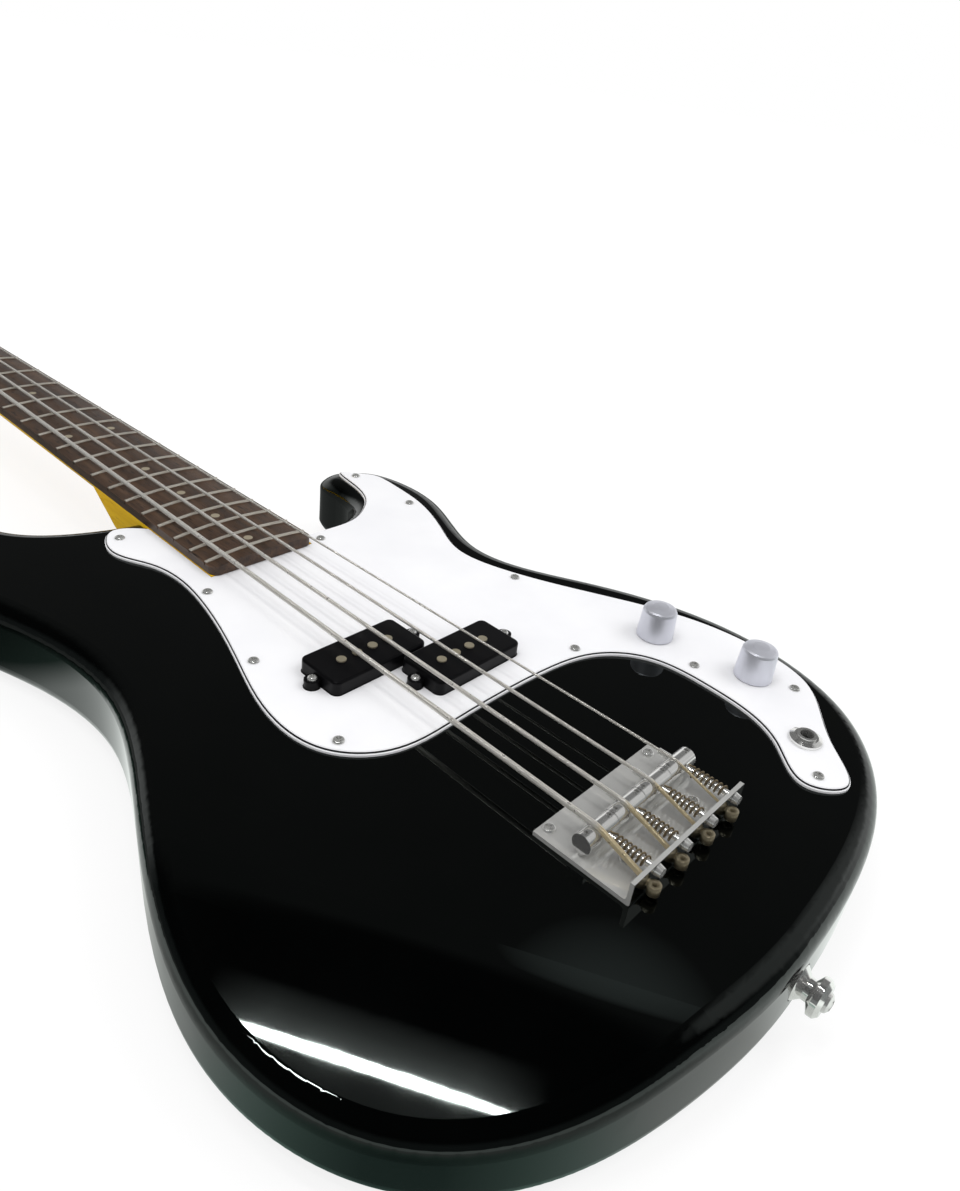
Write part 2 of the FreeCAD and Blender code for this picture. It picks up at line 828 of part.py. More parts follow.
def cut_arm_contour(body):
    """The sloped forearm contour on the bass side of the tail, blended into the face."""
    start = FreeCAD.Vector(*outline_point(ARM_CREASE_SHARES[0]), top)
    end = FreeCAD.Vector(*outline_point(ARM_CREASE_SHARES[1]), top)
    crease = (end - start).normalize()
    outward = crease.cross(UP)
    slope = math.radians(d.arm_angle)
    normal = UP * math.cos(slope) + outward * math.sin(slope)
    wedge = body.newObject("PartDesign::SubtractiveBox", "arm_contour")
    bind(wedge, "Length", d.front_reach)
    bind(wedge, "Width", d.half_width)
    bind(wedge, "Height", d.body_thick)
    turn = FreeCAD.Rotation(crease * -1, crease.cross(normal), normal, "ZXY")
    wedge.Placement = FreeCAD.Placement((start + end) * 0.5 + crease * (d.front_reach / 2), turn)

    def on_crease(edge):
        middle = edge.CenterOfMass - start
        return flat_at(edge, top) and isinstance(edge.Curve, Part.Line) and abs(
            middle.cross(crease).Length) < 1e-3

    return round_edges(body, wedge, d.arm_blend, on_crease, "arm_blend")


def make_body():
    body = new_body("body")
    drawing = sketch(body, "XY_Plane")
    smooth_loop(drawing, body_outline_points())
    pad(body, drawing, d.body_thick, "blank")
    blended = cut_arm_contour(body)
    doc.recompute()
    rims = []
    for face in blended.Shape.Faces:
        if isinstance(face.Surface, Part.SurfaceOfExtrusion):
            rims += [edge for edge in face.Edges if not upright(edge)]

    def on_rim(edge):
        return any(edge.isSame(rim) for rim in rims)

    round_edges(body, blended, d.edge_round, on_rim, "edge_round")
    drawing = sketch(body, "XY_Plane", top)
    loop(drawing, heel_corners(d.pocket_fit, d.front_reach))
    pocket(body, drawing, d.pocket_depth, "neck_pocket")
    for place_x, place_y in pickup_places():
        drawing = sketch(body, "XY_Plane", top)
        reach = d.pickup_length / 2 + d.ear_reach + d.ear_radius + d.pickup_cavity_gap
        half = d.pickup_width / 2 + d.pickup_cavity_gap
        loop(drawing, box_corners(place_x - reach, place_x + reach, place_y - half, place_y + half))
        pocket(body, drawing, d.pickup_cavity_depth, "pickup_cavity")
    for place_x, place_y in control_places():
        drawing = sketch(body, "XY_Plane", top)
        ring(drawing, place_x, place_y, d.cavity_radius)
        pocket(body, drawing, d.cavity_depth, "control_cavity")
    drawing = sketch(body, "XY_Plane", top)
    jack = outline_point(JACK_SHARE)
    ring(drawing, *jack, d.jack_cavity_radius)
    pocket(body, drawing, d.cavity_depth, "jack_cavity")
    volume, tone = control_places()
    pickup_end = ear_places(*pickup_places()[1])[1]
    for start, end in ((pickup_end, volume), (volume, tone), (tone, jack)):
        drawing = sketch(body, "XY_Plane", top)
        loop(drawing, channel_corners(start, end))
        pocket(body, drawing, d.channel_depth, "wire_channel")
    drawing = sketch(body, "XY_Plane")
    low = heel_end + d.joint_plate_inset
    half = d.joint_plate_width / 2 + d.pocket_fit
    high = low + d.joint_plate_length + d.pocket_fit
    loop(drawing, box_corners(-half, half, low - d.pocket_fit, high))
    pocket(body, drawing, d.joint_plate_thick, "plate_recess", downward=False)
    drill(body, 0, joint_screw_places(), d.joint_screw_radius + d.screw_fit, pocket_floor, downward=False)
    guard_screws = [outline_point(share) for share in GUARD_SCREW_SHARES]
    bite = d.guard_screw_length - d.guard_thick + d.screw_fit
    drill(body, top, guard_screws, d.guard_screw_radius + d.screw_fit, bite)
    bite = d.guard_screw_length - d.plate_thick + d.screw_fit
    drill(body, top, bridge_screw_places(), d.guard_screw_radius + d.screw_fit, bite)
    ears = [spot for centre in pickup_places() for spot in ear_places(*centre)]
    floor = d.pickup_cavity_depth + d.pickup_screw_bite + d.screw_fit
    drill(body, top, ears, d.pickup_screw_radius + d.screw_fit, floor)
    for at, along in strap_button_places():
        depth = d.button_screw_bite + d.screw_fit
        sink_hole(body, d.button_screw_radius + d.screw_fit, depth, at, along * -1)
        sink_hole(body, d.button_base_radius + d.guard_fit, d.button_seat_sink + d.overrun, at, along)
    return node("body", body)


def sink_hole(body, radius, depth, at, along):
    hole = body.newObject("PartDesign::SubtractiveCylinder", "strap_hole")
    bind(hole, "Radius", radius)
    bind(hole, "Height", depth)
    place(hole, at, along)


def drill(body, level, places, radius, depth, downward=True):
    """Round holes of one size and depth at places of a level face."""
    drawing = sketch(body, "XY_Plane", level)
    for place_x, place_y in places:
        ring(drawing, place_x, place_y, radius)
    return pocket(body, drawing, depth, "holes", downward)


def strap_button_places():
    """Seat and outward direction of each strap button: tail first, then the upper horn's tip."""
    mid = d.body_thick / 2
    tip = outline_point(HORN_TIP_SHARE)
    tail = (0, d.button_seat_sink - d.tail_reach, mid)
    return ((tail, BEHIND), ((tip[0], tip[1] - d.button_seat_sink, mid), AHEAD))


def neck_section(body, along, depth):
    """A D-shaped section: flat under the fingerboard, upright sides, round back."""
    drawing = sketch(body, "XZ_Plane", -along)
    half = neck_half(along)
    side = neck_top - d.neck_side
    corners = ((half, side), (half, neck_top), (-half, neck_top), (-half, side))
    arc_cap(drawing, corners, (0, neck_top - depth), bow_radius(half, depth - d.neck_side))
    return drawing


def post_places():
    return [
        (d.post_start_across + d.post_step_across * n, nut_back + d.post_start_along + d.post_step_along * n)
        for n in range(len(STRINGS))
    ]


def post_slant():
    return math.atan2(d.post_step_across, d.post_step_along)


def from_post(centre, out, aside):
    """A point beside a post: out towards its key, and aside along the row of posts."""
    lean = post_slant()
    return (
        centre[0] - out * math.cos(lean) - aside * math.sin(lean),
        centre[1] + out * math.sin(lean) - aside * math.cos(lean),
    )


def tuner_screw_places():
    out = d.tuner_screw_margin - d.tuner_plate_back
    aside = d.tuner_plate_width / 2 - d.tuner_screw_margin
    return [from_post(centre, out, side * aside) for centre in post_places() for side in (-1, 1)]


def tree_spot():
    """Between the two treble strings, past the nut."""
    return d.nut_spacing * 1.0, nut_back + d.tree_place


def make_neck():
    body = new_body("neck")
    drawing = sketch(body, "XY_Plane", pocket_floor)
    loop(drawing, heel_corners(0, ramp_end))
    pad(body, drawing, heel_thick, "heel")
    drawing = sketch(body, "YZ_Plane", -d.heel_width)
    loop(drawing, (
        (ramp_start, pocket_floor),
        (ramp_start, pocket_floor - d.overrun),
        (ramp_end + d.overrun, pocket_floor - d.overrun),
        (ramp_end + d.overrun, neck_top - d.neck_side),
        (ramp_end, neck_top - d.neck_side),
    ))
    ramp = pocket(body, drawing, d.heel_width * 2, "heel_ramp", downward=False)

    def heel_nose(edge):
        return abs(edge.CenterOfMass.y - ramp_start) < 1e-3 and flat_at(edge, pocket_floor)

    round_edges(body, ramp, d.heel_round, heel_nose, "heel_nose")
    near = neck_section(body, heel_end + d.heel_length / 2, d.neck_depth_heel)
    far = neck_section(body, nut_back + d.head_ramp, d.neck_depth_nut)
    shaft = body.newObject("PartDesign::AdditiveLoft", "shaft")
    shaft.Profile = near
    shaft.Sections = [far]
    shaft.Ruled = True
    drawing = sketch(body, "YZ_Plane", -d.nut_width)
    loop(drawing, (
        (nut_back, head_face),
        (nut_back + d.head_ramp + d.overrun, head_face),
        (nut_back + d.head_ramp + d.overrun, neck_top + d.overrun),
        (nut_back, neck_top + d.overrun),
    ))
    pocket(body, drawing, d.nut_width * 2, "face_step", downward=False)
    drawing = sketch(body, "YZ_Plane", -nut_half)
    corners = ((nut_back, neck_top), (nut_back, head_face), (nut_back + d.head_ramp, head_face))
    half_chord = math.hypot(d.head_ramp, d.head_drop) / 2
    sag = half_chord / 5
    bulge_y = nut_back + d.head_ramp / 2 - sag * d.head_drop / (half_chord * 2)
    bulge_z = head_face + d.head_drop / 2 - sag * d.head_ramp / (half_chord * 2)
    arc_cap(drawing, corners, (bulge_y, bulge_z), bow_radius(half_chord, sag))
    pad(body, drawing, d.nut_width, "face_ramp")
    drawing = sketch(body, "XY_Plane", head_back)
    outline = [(d.head_half_width * x, nut_back + d.head_length * y) for x, y in HEAD_SHARES]
    smooth_loop(drawing, outline)
    pad(body, drawing, d.head_thick, "headstock")
    drawing = sketch(body, "XY_Plane", neck_top)
    half = d.truss_radius + d.screw_fit
    loop(drawing, box_corners(-half, half, heel_end - d.overrun, d.scale_length - d.truss_stop))
    pocket(body, drawing, d.truss_floor, "truss_slot")
    drill(body, head_face, post_places(), d.bushing_radius + d.screw_fit, d.head_thick + d.overrun)
    grip = d.joint_screw_bite + d.screw_fit
    drill(body, pocket_floor, joint_screw_places(), d.joint_screw_radius + d.screw_fit, grip, downward=False)
    grip = d.tuner_screw_bite + d.screw_fit
    drill(body, head_back, tuner_screw_places(), d.tuner_screw_radius + d.screw_fit, grip, downward=False)
    grip = d.tree_screw_bite + d.screw_fit
    drill(body, head_face, [tree_spot()], d.tree_screw_radius + d.screw_fit, grip)
    return node("neck", body)


def dot_places():
    """Centres of the position dots on the fingerboard."""
    places = [(0, (fret_place(n) + fret_place(n - 1)) / 2) for n in SINGLE_DOTS]
    along = (fret_place(DOUBLE_DOT) + fret_place(DOUBLE_DOT - 1)) / 2
    return places + [(side * neck_half(along) / 2, along) for side in (-1, 1)]


def make_fingerboard():
    body = new_body("fingerboard")
    drawing = sketch(body, "XY_Plane", neck_top)
    end = neck_half(board_end)
    far = d.scale_length
    loop(drawing, ((-end, board_end), (end, board_end), (nut_half, far), (-nut_half, far)))
    blank = pad(body, drawing, d.board_thick, "blank")

    def near_corner(edge):
        return upright(edge) and abs(edge.CenterOfMass.y - board_end) < 1e-3

    round_edges(body, blank, d.board_corner, near_corner, "corners")
    drawing = sketch(body, "XZ_Plane", -d.scale_length - d.overrun)
    wide = heel_half + d.overrun
    drop = math.sqrt(d.board_radius ** 2 - wide ** 2) - d.board_radius
    edge_level = board_top + d.board_radius * (drop / float(d.board_radius))
    sky = board_top + d.overrun
    corners = ((-wide, edge_level), (-wide, sky), (wide, sky), (wide, edge_level))
    arc_cap(drawing, corners, (0, board_top), d.board_radius)
    pocket(body, drawing, d.scale_length, "crown", downward=False)
    slots = sketch(body, "XY_Plane", board_top)
    half = (d.fret_tang_width + d.dot_fit) / 2
    for number in range(1, FRET_COUNT + 1):
        along = fret_place(number)
        plain_loop(slots, box_corners(-d.heel_width, d.heel_width, along - half, along + half))
    fall = d.heel_width * d.heel_width / (d.board_radius * 8)
    pocket(body, slots, d.fret_tang_depth + fall + d.dot_fit, "fret_slots")
    drill(body, board_top, dot_places(), d.dot_radius + d.dot_fit, d.dot_depth)
    return node("fingerboard", body)


def make_frets():
    """Frets bent to the fingerboard's radius, each with its tang in the slot."""
    crown = d.fret_crown_width / 2
    tang = d.fret_tang_width / 2
    centre = board_top - d.board_radius
    axis = FreeCAD.Vector(0, 0, centre)
    solids = []
    for number in range(1, FRET_COUNT + 1):
        along = fret_place(number)
        profile = (
            (crown, board_top + d.fret_crown_height * 0.3), (crown, board_top), (tang, board_top),
            (tang, board_top - d.fret_tang_depth), (-tang, board_top - d.fret_tang_depth), (-tang, board_top),
            (-crown, board_top), (-crown, board_top + d.fret_crown_height * 0.3),
        )
        spots = [FreeCAD.Vector(0, along + y, z) for y, z in profile]
        peak = FreeCAD.Vector(0, along, board_top + d.fret_crown_height)
        arch = Part.Arc(spots[-1], peak, spots[0]).toShape()
        face = Part.Face(Part.Wire(Part.makePolygon(spots).Edges + [arch]))
        half_turn = math.degrees(math.asin((neck_half(along) - d.fret_inset) / d.board_radius))
        face.rotate(axis, AHEAD, -half_turn)
        solids.append(face.revolve(axis, AHEAD, 2 * half_turn))
    return node("frets", shaped("frets", Part.Compound(solids)))


def make_dots():
    dots = []
    for place_x, place_y in dot_places():
        fall = place_x * place_x / (d.board_radius * 2) if place_x else 0
        height = d.dot_depth - fall
        dots.append(rod("dot", d.dot_radius, height, (place_x, place_y, board_top - d.dot_depth)))
    return node("position_dots", group("position_dots", dots))


def make_nut():
    height = d.board_thick + d.nut_rise + d.nut_lip
    blank = block("nut_blank", (d.nut_width, d.nut_thick, height), (-nut_half, d.scale_length, neck_top))
    slots = []
    for index, name in enumerate(STRINGS):
        across = string_line(index)[1]
        width = string_size(name) * 2 + d.string_fit * 2
        at = (across - width / 2, d.scale_length - d.overrun, nut_seat - d.string_fit * 2)
        slots.append(block("nut_slot", (width, d.nut_thick + d.overrun * 2, d.nut_lip + d.overrun), at))
    return node("nut", cut("nut", blank, slots))


def make_truss_rod():
    level = neck_top - d.truss_floor + d.truss_radius
    length = d.scale_length - d.truss_stop - heel_end - d.truss_radius * 4
    start = heel_end + d.truss_radius * 4
    bar = rod("truss_bar", d.truss_radius * 0.8, length - d.screw_fit, (0, start, level), AHEAD)
    barrel = rod("truss_nut", d.truss_radius, d.truss_radius * 4, (0, heel_end, level), AHEAD)
    slot_size = (d.truss_radius * 3, d.truss_radius, d.truss_radius * 0.5)
    slot_at = (-d.truss_radius * 1.5, heel_end - d.truss_radius * 0.5, level - d.truss_radius * 0.25)
    adjuster = cut("truss_adjuster", barrel, [block("truss_key_slot", slot_size, slot_at)])
    return node("truss_rod", group("truss_rod", [bar, adjuster]))


# Strings and bridge


def saddle_place(index, name):
    """Centre of a saddle's barrel."""
    across = string_line(index)[0] + d.barrel_offset
    return across, -getattr(d, "setback_" + name), barrel_level


def groove_radius(name):
    """Distance of a string's centre line from its barrel's axis."""
    return d.barrel_radius - d.groove_depth + string_size(name)


def tangent_spot(centre, radius, outside, side):
    """Where a line from an outside point touches a circle, in one plane."""
    run = (outside[0] - centre[0], outside[1] - centre[1])
    length = math.hypot(*run)
    lean = math.acos(radius / length) * side
    heading = math.atan2(run[1], run[0]) + lean
    return centre[0] + radius * math.cos(heading), centre[1] + radius * math.sin(heading)


def towards(start, end):
    return (end - start).normalize()


def wrap_radius(name):
    return d.post_radius + string_size(name) + d.string_fit


def wrap_pitch(name):
    return string_size(name) * 2 + d.wrap_gap


def wrap_level(name):
    """Height at which a string first meets its post."""
    return head_face + d.wrap_rise + string_size(name)


def string_stations(index, name):
    """Points and directions of a string from its ball end to the turns on its post."""
    radius = string_size(name)
    across, at_nut = string_line(index)
    barrel = saddle_place(index, name)
    hole = FreeCAD.Vector(across, d.flange_thick / 2 - d.plate_back, plate_top + d.string_hole_height)
    ride = groove_radius(name)
    centre = (float(barrel[1]), float(barrel[2]))
    rear = tangent_spot(centre, ride, (hole.y, hole.z), -1)
    nut_spot = FreeCAD.Vector(at_nut, d.scale_length + d.nut_thick * 0.5, nut_seat + radius)
    front = tangent_spot(centre, ride, (nut_spot.y, nut_spot.z), 1)
    rear_spot = FreeCAD.Vector(across, *rear)
    front_spot = FreeCAD.Vector(across, *front)
    rise = towards(hole, rear_spot)
    ball = hole - rise * ((d.flange_thick / 2 + d.ball_radius) / rise.y)
    run = towards(front_spot, nut_spot)
    post = post_places()[index]
    turn = wrap_radius(name)
    leave = nut_spot + run * (d.nut_thick * 0.6)
    touch = tangent_spot((float(post[0]), float(post[1])), turn, (leave.x, leave.y), 1)
    meet = FreeCAD.Vector(touch[0], touch[1], wrap_level(name))
    fall = towards(leave, meet)
    leave = nut_spot + (run + fall) * (d.nut_thick * 0.3)
    fall = towards(leave, meet)
    stations = [(ball, rise), (rear_spot, rise), (front_spot, run)]
    stations += [(nut_spot, run), (leave, fall), (meet, fall)]
    angle = math.atan2(touch[1] - post[1], touch[0] - post[0])
    climb = wrap_pitch(name) / (2 * math.pi * turn)
    for quarter in range(1, 4 * int(d.wrap_turns) + 1):
        bearing = angle + quarter * math.pi / 2
        outward = FreeCAD.Vector(math.cos(bearing), math.sin(bearing), 0)
        level = meet.z + wrap_pitch(name) * (quarter / 4)
        spot = FreeCAD.Vector(post[0], post[1], level) + outward * turn
        stations.append((spot, (UP.cross(outward) + UP * climb).normalize()))
    last, heading = stations[-1]
    stations.append((last + heading * (radius * 2), heading))
    return stations


def make_strings():
    for index, name in enumerate(STRINGS):
        stations = string_stations(index, name)
        radius = string_size(name)
        shape = tube(stations, radius)
        gap = least_gap(stations[5:], radius, wrap_pitch(name) * 3)
        print("string_{} least gap {:.2f}".format(name, gap))
        ball = stations[0][0]
        foot = FreeCAD.Vector(ball.x, ball.y, ball.z - d.ball_height / 2)
        cap = Part.makeCylinder(float(d.ball_radius), float(d.ball_height), foot, UP)
        eye = Part.makeCylinder(float(d.ball_hole), float(d.ball_height), foot, UP)
        whole = shape.fuse(cap).cut(eye).removeSplitter()
        node("string_" + name, shaped("string_" + name, whole.Solids[0]))


def make_bridge_plate():
    body = new_body("bridge_plate")
    half = d.plate_width / 2
    level = barrel_level + d.flange_margin
    drawing = sketch(body, "YZ_Plane", d.barrel_offset / 2 - half)
    loop(drawing, (
        (-d.plate_back, top), (d.plate_front, top), (d.plate_front, plate_top), (flange_face, plate_top),
        (flange_face, level), (-d.plate_back, level),
    ))
    blank = pad(body, drawing, d.plate_width, "bent_plate")

    def bend(edge):
        middle = edge.CenterOfMass
        inside = abs(middle.y - flange_face) + abs(middle.z - plate_top) < 1e-3
        outside = abs(middle.y + d.plate_back) + abs(middle.z - top) < 1e-3
        return inside or outside

    round_edges(body, blank, d.flange_bend, bend, "bend")
    holes = sketch(body, "XZ_Plane", d.plate_back)
    for index, name in enumerate(STRINGS):
        across = string_line(index)[0]
        ring(holes, across, plate_top + d.string_hole_height, string_size(name) + d.string_hole_fit)
        screw_x = saddle_place(index, name)[0] + d.intonation_offset
        ring(holes, screw_x, barrel_level, d.intonation_radius + d.running_fit)
    pocket(body, holes, d.flange_thick + d.overrun / 4, "flange_holes")
    hole = d.guard_screw_radius + d.screw_fit
    drill(body, plate_top, bridge_screw_places(), hole, d.plate_thick + d.overrun)
    return node("bridge_plate", body)


def make_saddle(index, name):
    """A barrel with its string groove, and the two screws that set its height."""
    across, along, level = saddle_place(index, name)
    half = d.barrel_length / 2
    barrel = rod("barrel", d.barrel_radius, d.barrel_length, (across - half, along, level), ACROSS)
    at = (string_line(index)[0], along, level)
    groove = torus("groove", groove_radius(name), string_size(name) + d.string_fit, at, ACROSS)
    thread = d.intonation_radius + d.running_fit
    reach = d.barrel_radius + d.overrun
    bore_at = (across + d.intonation_offset, along - reach, level)
    tools = [groove, rod("bore", thread, reach * 2, bore_at, AHEAD)]
    low = plate_top + d.slide_gap
    length = level + d.barrel_radius + d.height_screw_proud - low
    pieces = []
    for side in (-1, 1):
        stand = across + side * d.height_screw_offset
        bore_radius = d.height_screw_radius + d.screw_fit
        tools.append(rod("bore", bore_radius, reach * 2, (stand, along, level - reach)))
        stud = rod("height_stud", d.height_screw_radius, length, (stand, along, low))
        depth = d.height_socket_radius * 3
        socket_at = (stand, along, low + length - depth)
        socket = rod("height_socket", d.height_socket_radius, depth + d.overrun, socket_at)
        pieces.append(cut("height_screw", stud, [socket]))
    return node("saddle_" + name, group("saddle_" + name, [cut("barrel_bored", barrel, tools)] + pieces))


def make_intonation_screw(index, name):
    across, along, level = saddle_place(index, name)
    across = across + d.intonation_offset
    back = -d.plate_back - d.slide_gap
    head_at = (across, back - d.intonation_head_length, level)
    head = cone("screw_head", d.intonation_head_radius * 0.8, d.intonation_head_radius,
                d.intonation_head_length, head_at, AHEAD)
    length = along + d.intonation_tail - back
    shank = rod("screw_shank", d.intonation_radius, length, (across, back, level), AHEAD)
    recess = cross_bars(head_at, BEHIND, d.intonation_head_radius * 0.8, d.intonation_head_length * 0.5)
    whole = cut("intonation_screw_" + name, fuse("intonation_blank", [head, shank]), recess)
    return node("intonation_screw_" + name, whole)


def spring_stations(index, name):
    """A compression spring round the intonation screw, between the flange and the barrel."""
    across, along, level = saddle_place(index, name)
    axis_x = across + d.intonation_offset
    coil = d.spring_coil_radius
    wire = d.spring_wire_radius
    start = flange_face + d.slide_gap
    end = along - d.barrel_radius - d.slide_gap
    lead = wire * 2
    ease = wire * 4
    low = start + lead + ease
    pitch = (end - lead - ease - low) / d.spring_turns
    climb = pitch / (2 * math.pi * coil)

    def around(bearing, reach):
        outward = FreeCAD.Vector(math.cos(bearing), 0, math.sin(bearing))
        return FreeCAD.Vector(axis_x, reach, level) + outward * coil, outward.cross(AHEAD)

    lean = math.pi / 2
    stations = [(around(-lean, start)[0], AHEAD), (around(-lean, start + lead)[0], AHEAD)]
    for quarter in range(4 * int(d.spring_turns) + 1):
        spot, heading = around(quarter * math.pi / 2, low + pitch * (quarter / 4))
        stations.append((spot, (heading + AHEAD * climb).normalize()))
    stations.append((around(lean, end - lead)[0], AHEAD))
    stations.append((around(lean, end)[0], AHEAD))
    return stations


def make_springs():
    for index, name in enumerate(STRINGS):
        stations = spring_stations(index, name)
        wire = d.spring_wire_radius
        gap = least_gap(stations, wire, wire * 10)
        print("intonation_spring_{} least gap {:.2f}".format(name, gap))
        node("intonation_spring_" + name, shaped("intonation_spring_" + name, tube(stations, wire)))


def make_bridge_screws():
    head = (d.guard_head_radius, d.guard_head_height)
    shank = (d.guard_screw_radius, d.guard_screw_length)
    return node("bridge_screws", screw_set("bridge_screws", plate_top, bridge_screw_places(), head, shank))


# Pickguard, pickups and controls


def make_pickguard():
    body = new_body("pickguard")
    drawing = sketch(body, "XY_Plane", top)
    smooth_loop(drawing, [outline_point(share) for share in GUARD_SHARES])
    blank = pad(body, drawing, d.guard_thick, "sheet")
    round_edges(body, blank, d.guard_bevel, lambda edge: flat_at(edge, guard_top), "bevel", "Chamfer", "Size")
    depth = d.guard_thick + d.overrun
    drawing = sketch(body, "XY_Plane", guard_top)
    loop(drawing, heel_corners(d.guard_fit, d.front_reach))
    pocket(body, drawing, depth, "neck_notch")
    for centre in pickup_places():
        place_x, place_y = centre
        drawing = sketch(body, "XY_Plane", guard_top)
        reach = d.pickup_length / 2 + d.guard_fit
        half = d.pickup_width / 2 + d.guard_fit
        loop(drawing, box_corners(place_x - reach, place_x + reach, place_y - half, place_y + half))
        window = pocket(body, drawing, depth, "pickup_window")
        round_edges(
            body, window, d.pickup_corner + d.guard_fit,
            lambda edge: at_corner(edge, centre, reach, half), "window_corners")
        drill(body, guard_top, ear_places(place_x, place_y), d.ear_radius + d.guard_fit, depth)
    drill(body, guard_top, control_places(), d.pot_bushing_radius + d.screw_fit, depth)
    drill(body, guard_top, [outline_point(JACK_SHARE)], d.jack_barrel_radius + d.screw_fit, depth)
    screws = [outline_point(share) for share in GUARD_SCREW_SHARES]
    drill(body, guard_top, screws, d.guard_screw_radius + d.screw_fit, depth)
    return node("pickguard", body)


def make_guard_screws():
    head = (d.guard_head_radius, d.guard_head_height)
    shank = (d.guard_screw_radius, d.guard_screw_length)
    places = [outline_point(share) for share in GUARD_SCREW_SHARES]
    return node("pickguard_screws", screw_set("pickguard_screws", guard_top, places, head, shank))


def pole_places(place_x, place_y):
    return [(place_x + d.pole_spread * (n - 1.5), place_y) for n in range(4)]


cover_top = guard_top + d.pickup_rise
cover_low = guard_top - d.pickup_sink
bobbin_low = cover_low - d.bobbin_thick
cavity_floor = top - d.pickup_cavity_depth


def make_pickup_cover(name, centre):
    """A moulded cover, open below, with a screw ear at each end and holes for its poles."""
    place_x, place_y = centre
    body = new_body(name)
    drawing = sketch(body, "XY_Plane", cover_low)
    for ear_x, ear_y in ear_places(place_x, place_y):
        ring(drawing, ear_x, ear_y, d.ear_radius)
    body.AllowCompound = True
    pad(body, drawing, d.pickup_sink + d.ear_rise, "ears")
    drawing = sketch(body, "XY_Plane", cover_low)
    reach = d.pickup_length / 2
    half = d.pickup_width / 2
    loop(drawing, box_corners(place_x - reach, place_x + reach, place_y - half, place_y + half))
    shell = pad(body, drawing, d.pickup_sink + d.pickup_rise, "shell")

    shell = round_edges(
        body, shell, d.pickup_corner, lambda edge: at_corner(edge, centre, reach, half), "corners")
    round_edges(body, shell, d.pickup_edge, lambda edge: flat_at(edge, cover_top), "rim")
    drawing = sketch(body, "XY_Plane", cover_low)
    inner = reach - d.pickup_wall
    room = half - d.pickup_wall
    loop(drawing, box_corners(place_x - inner, place_x + inner, place_y - room, place_y + room))
    hollow = d.pickup_sink + d.pickup_rise - d.pickup_wall
    pocket(body, drawing, hollow, "hollow", downward=False)
    drill(body, cover_top, pole_places(*centre), d.pole_radius + d.screw_fit, d.pickup_wall + d.overrun)
    depth = d.pickup_sink + d.ear_rise + d.overrun
    drill(body, guard_top + d.ear_rise, ear_places(*centre), d.pickup_screw_radius + d.screw_fit, depth)
    return node(name, body)


def racetrack(name, half_length, half_width, height, at):
    """A plate with round ends, centred on a point."""
    x, y, z = at
    run = half_length - half_width
    bar = block(name + "_bar", (run * 2, half_width * 2, height), (x - run, y - half_width, z))
    ends = [rod(name + "_end", half_width, height, (x + side * run, y, z)) for side in (-1, 1)]
    return fuse(name, [bar] + ends)


def make_pickup_insides():
    """Pole pieces, bobbin plates, coils and the foam that pushes each half up."""
    poles = []
    plates = []
    coils = []
    foam = []
    half_length = d.pickup_length / 2 - d.pickup_wall - d.bobbin_gap
    half_width = d.pickup_width / 2 - d.pickup_wall - d.bobbin_gap
    upper = cover_top - d.pickup_wall - d.bobbin_thick
    lower = bobbin_low + d.bobbin_thick
    hole = d.pole_radius + d.screw_fit
    for centre in pickup_places():
        x, y = centre
        pole_length = cover_top + d.pole_proud - bobbin_low
        for px, py in pole_places(*centre):
            poles.append(rod("pole", d.pole_radius, pole_length, (px, py, bobbin_low)))
        for level in (bobbin_low, upper):
            plate = racetrack("bobbin", half_length, half_width, d.bobbin_thick, (x, y, level))
            bores = [rod("bore", hole, d.bobbin_thick * 3, (px, py, level - d.bobbin_thick))
                     for px, py in pole_places(*centre)]
            plates.append(cut("bobbin_plate", plate, bores))
        outer_width = hole + d.coil_band
        outer_length = d.pole_spread * 1.5 + outer_width
        wound = racetrack("coil", outer_length, outer_width, upper - lower, (x, y, lower))
        inner_length = d.pole_spread * 1.5 + hole
        core = racetrack("core", inner_length, hole, upper - lower + d.overrun * 2, (x, y, lower - d.overrun))
        coils.append(cut("coil_band", wound, [core]))
        pad_half = half_length * 0.7
        size = (pad_half * 2, half_width * 2, bobbin_low - cavity_floor)
        foam.append(block("foam", size, (x - pad_half, y - half_width, cavity_floor)))
    node("pickup_pole_pieces", group("pickup_pole_pieces", poles))
    node("pickup_bobbins", group("pickup_bobbins", plates))
    node("pickup_coils", group("pickup_coils", coils))
    node("pickup_foam", group("pickup_foam", foam))


def make_pickup_screws():
    level = guard_top + d.ear_rise
    head = (d.pickup_head_radius, d.pickup_head_height)
    shank = (d.pickup_screw_radius, level - cavity_floor + d.pickup_screw_bite)
    spots = [spot for centre in pickup_places() for spot in ear_places(*centre)]
    return node("pickup_screws", screw_set("pickup_screws", level, spots, head, shank))


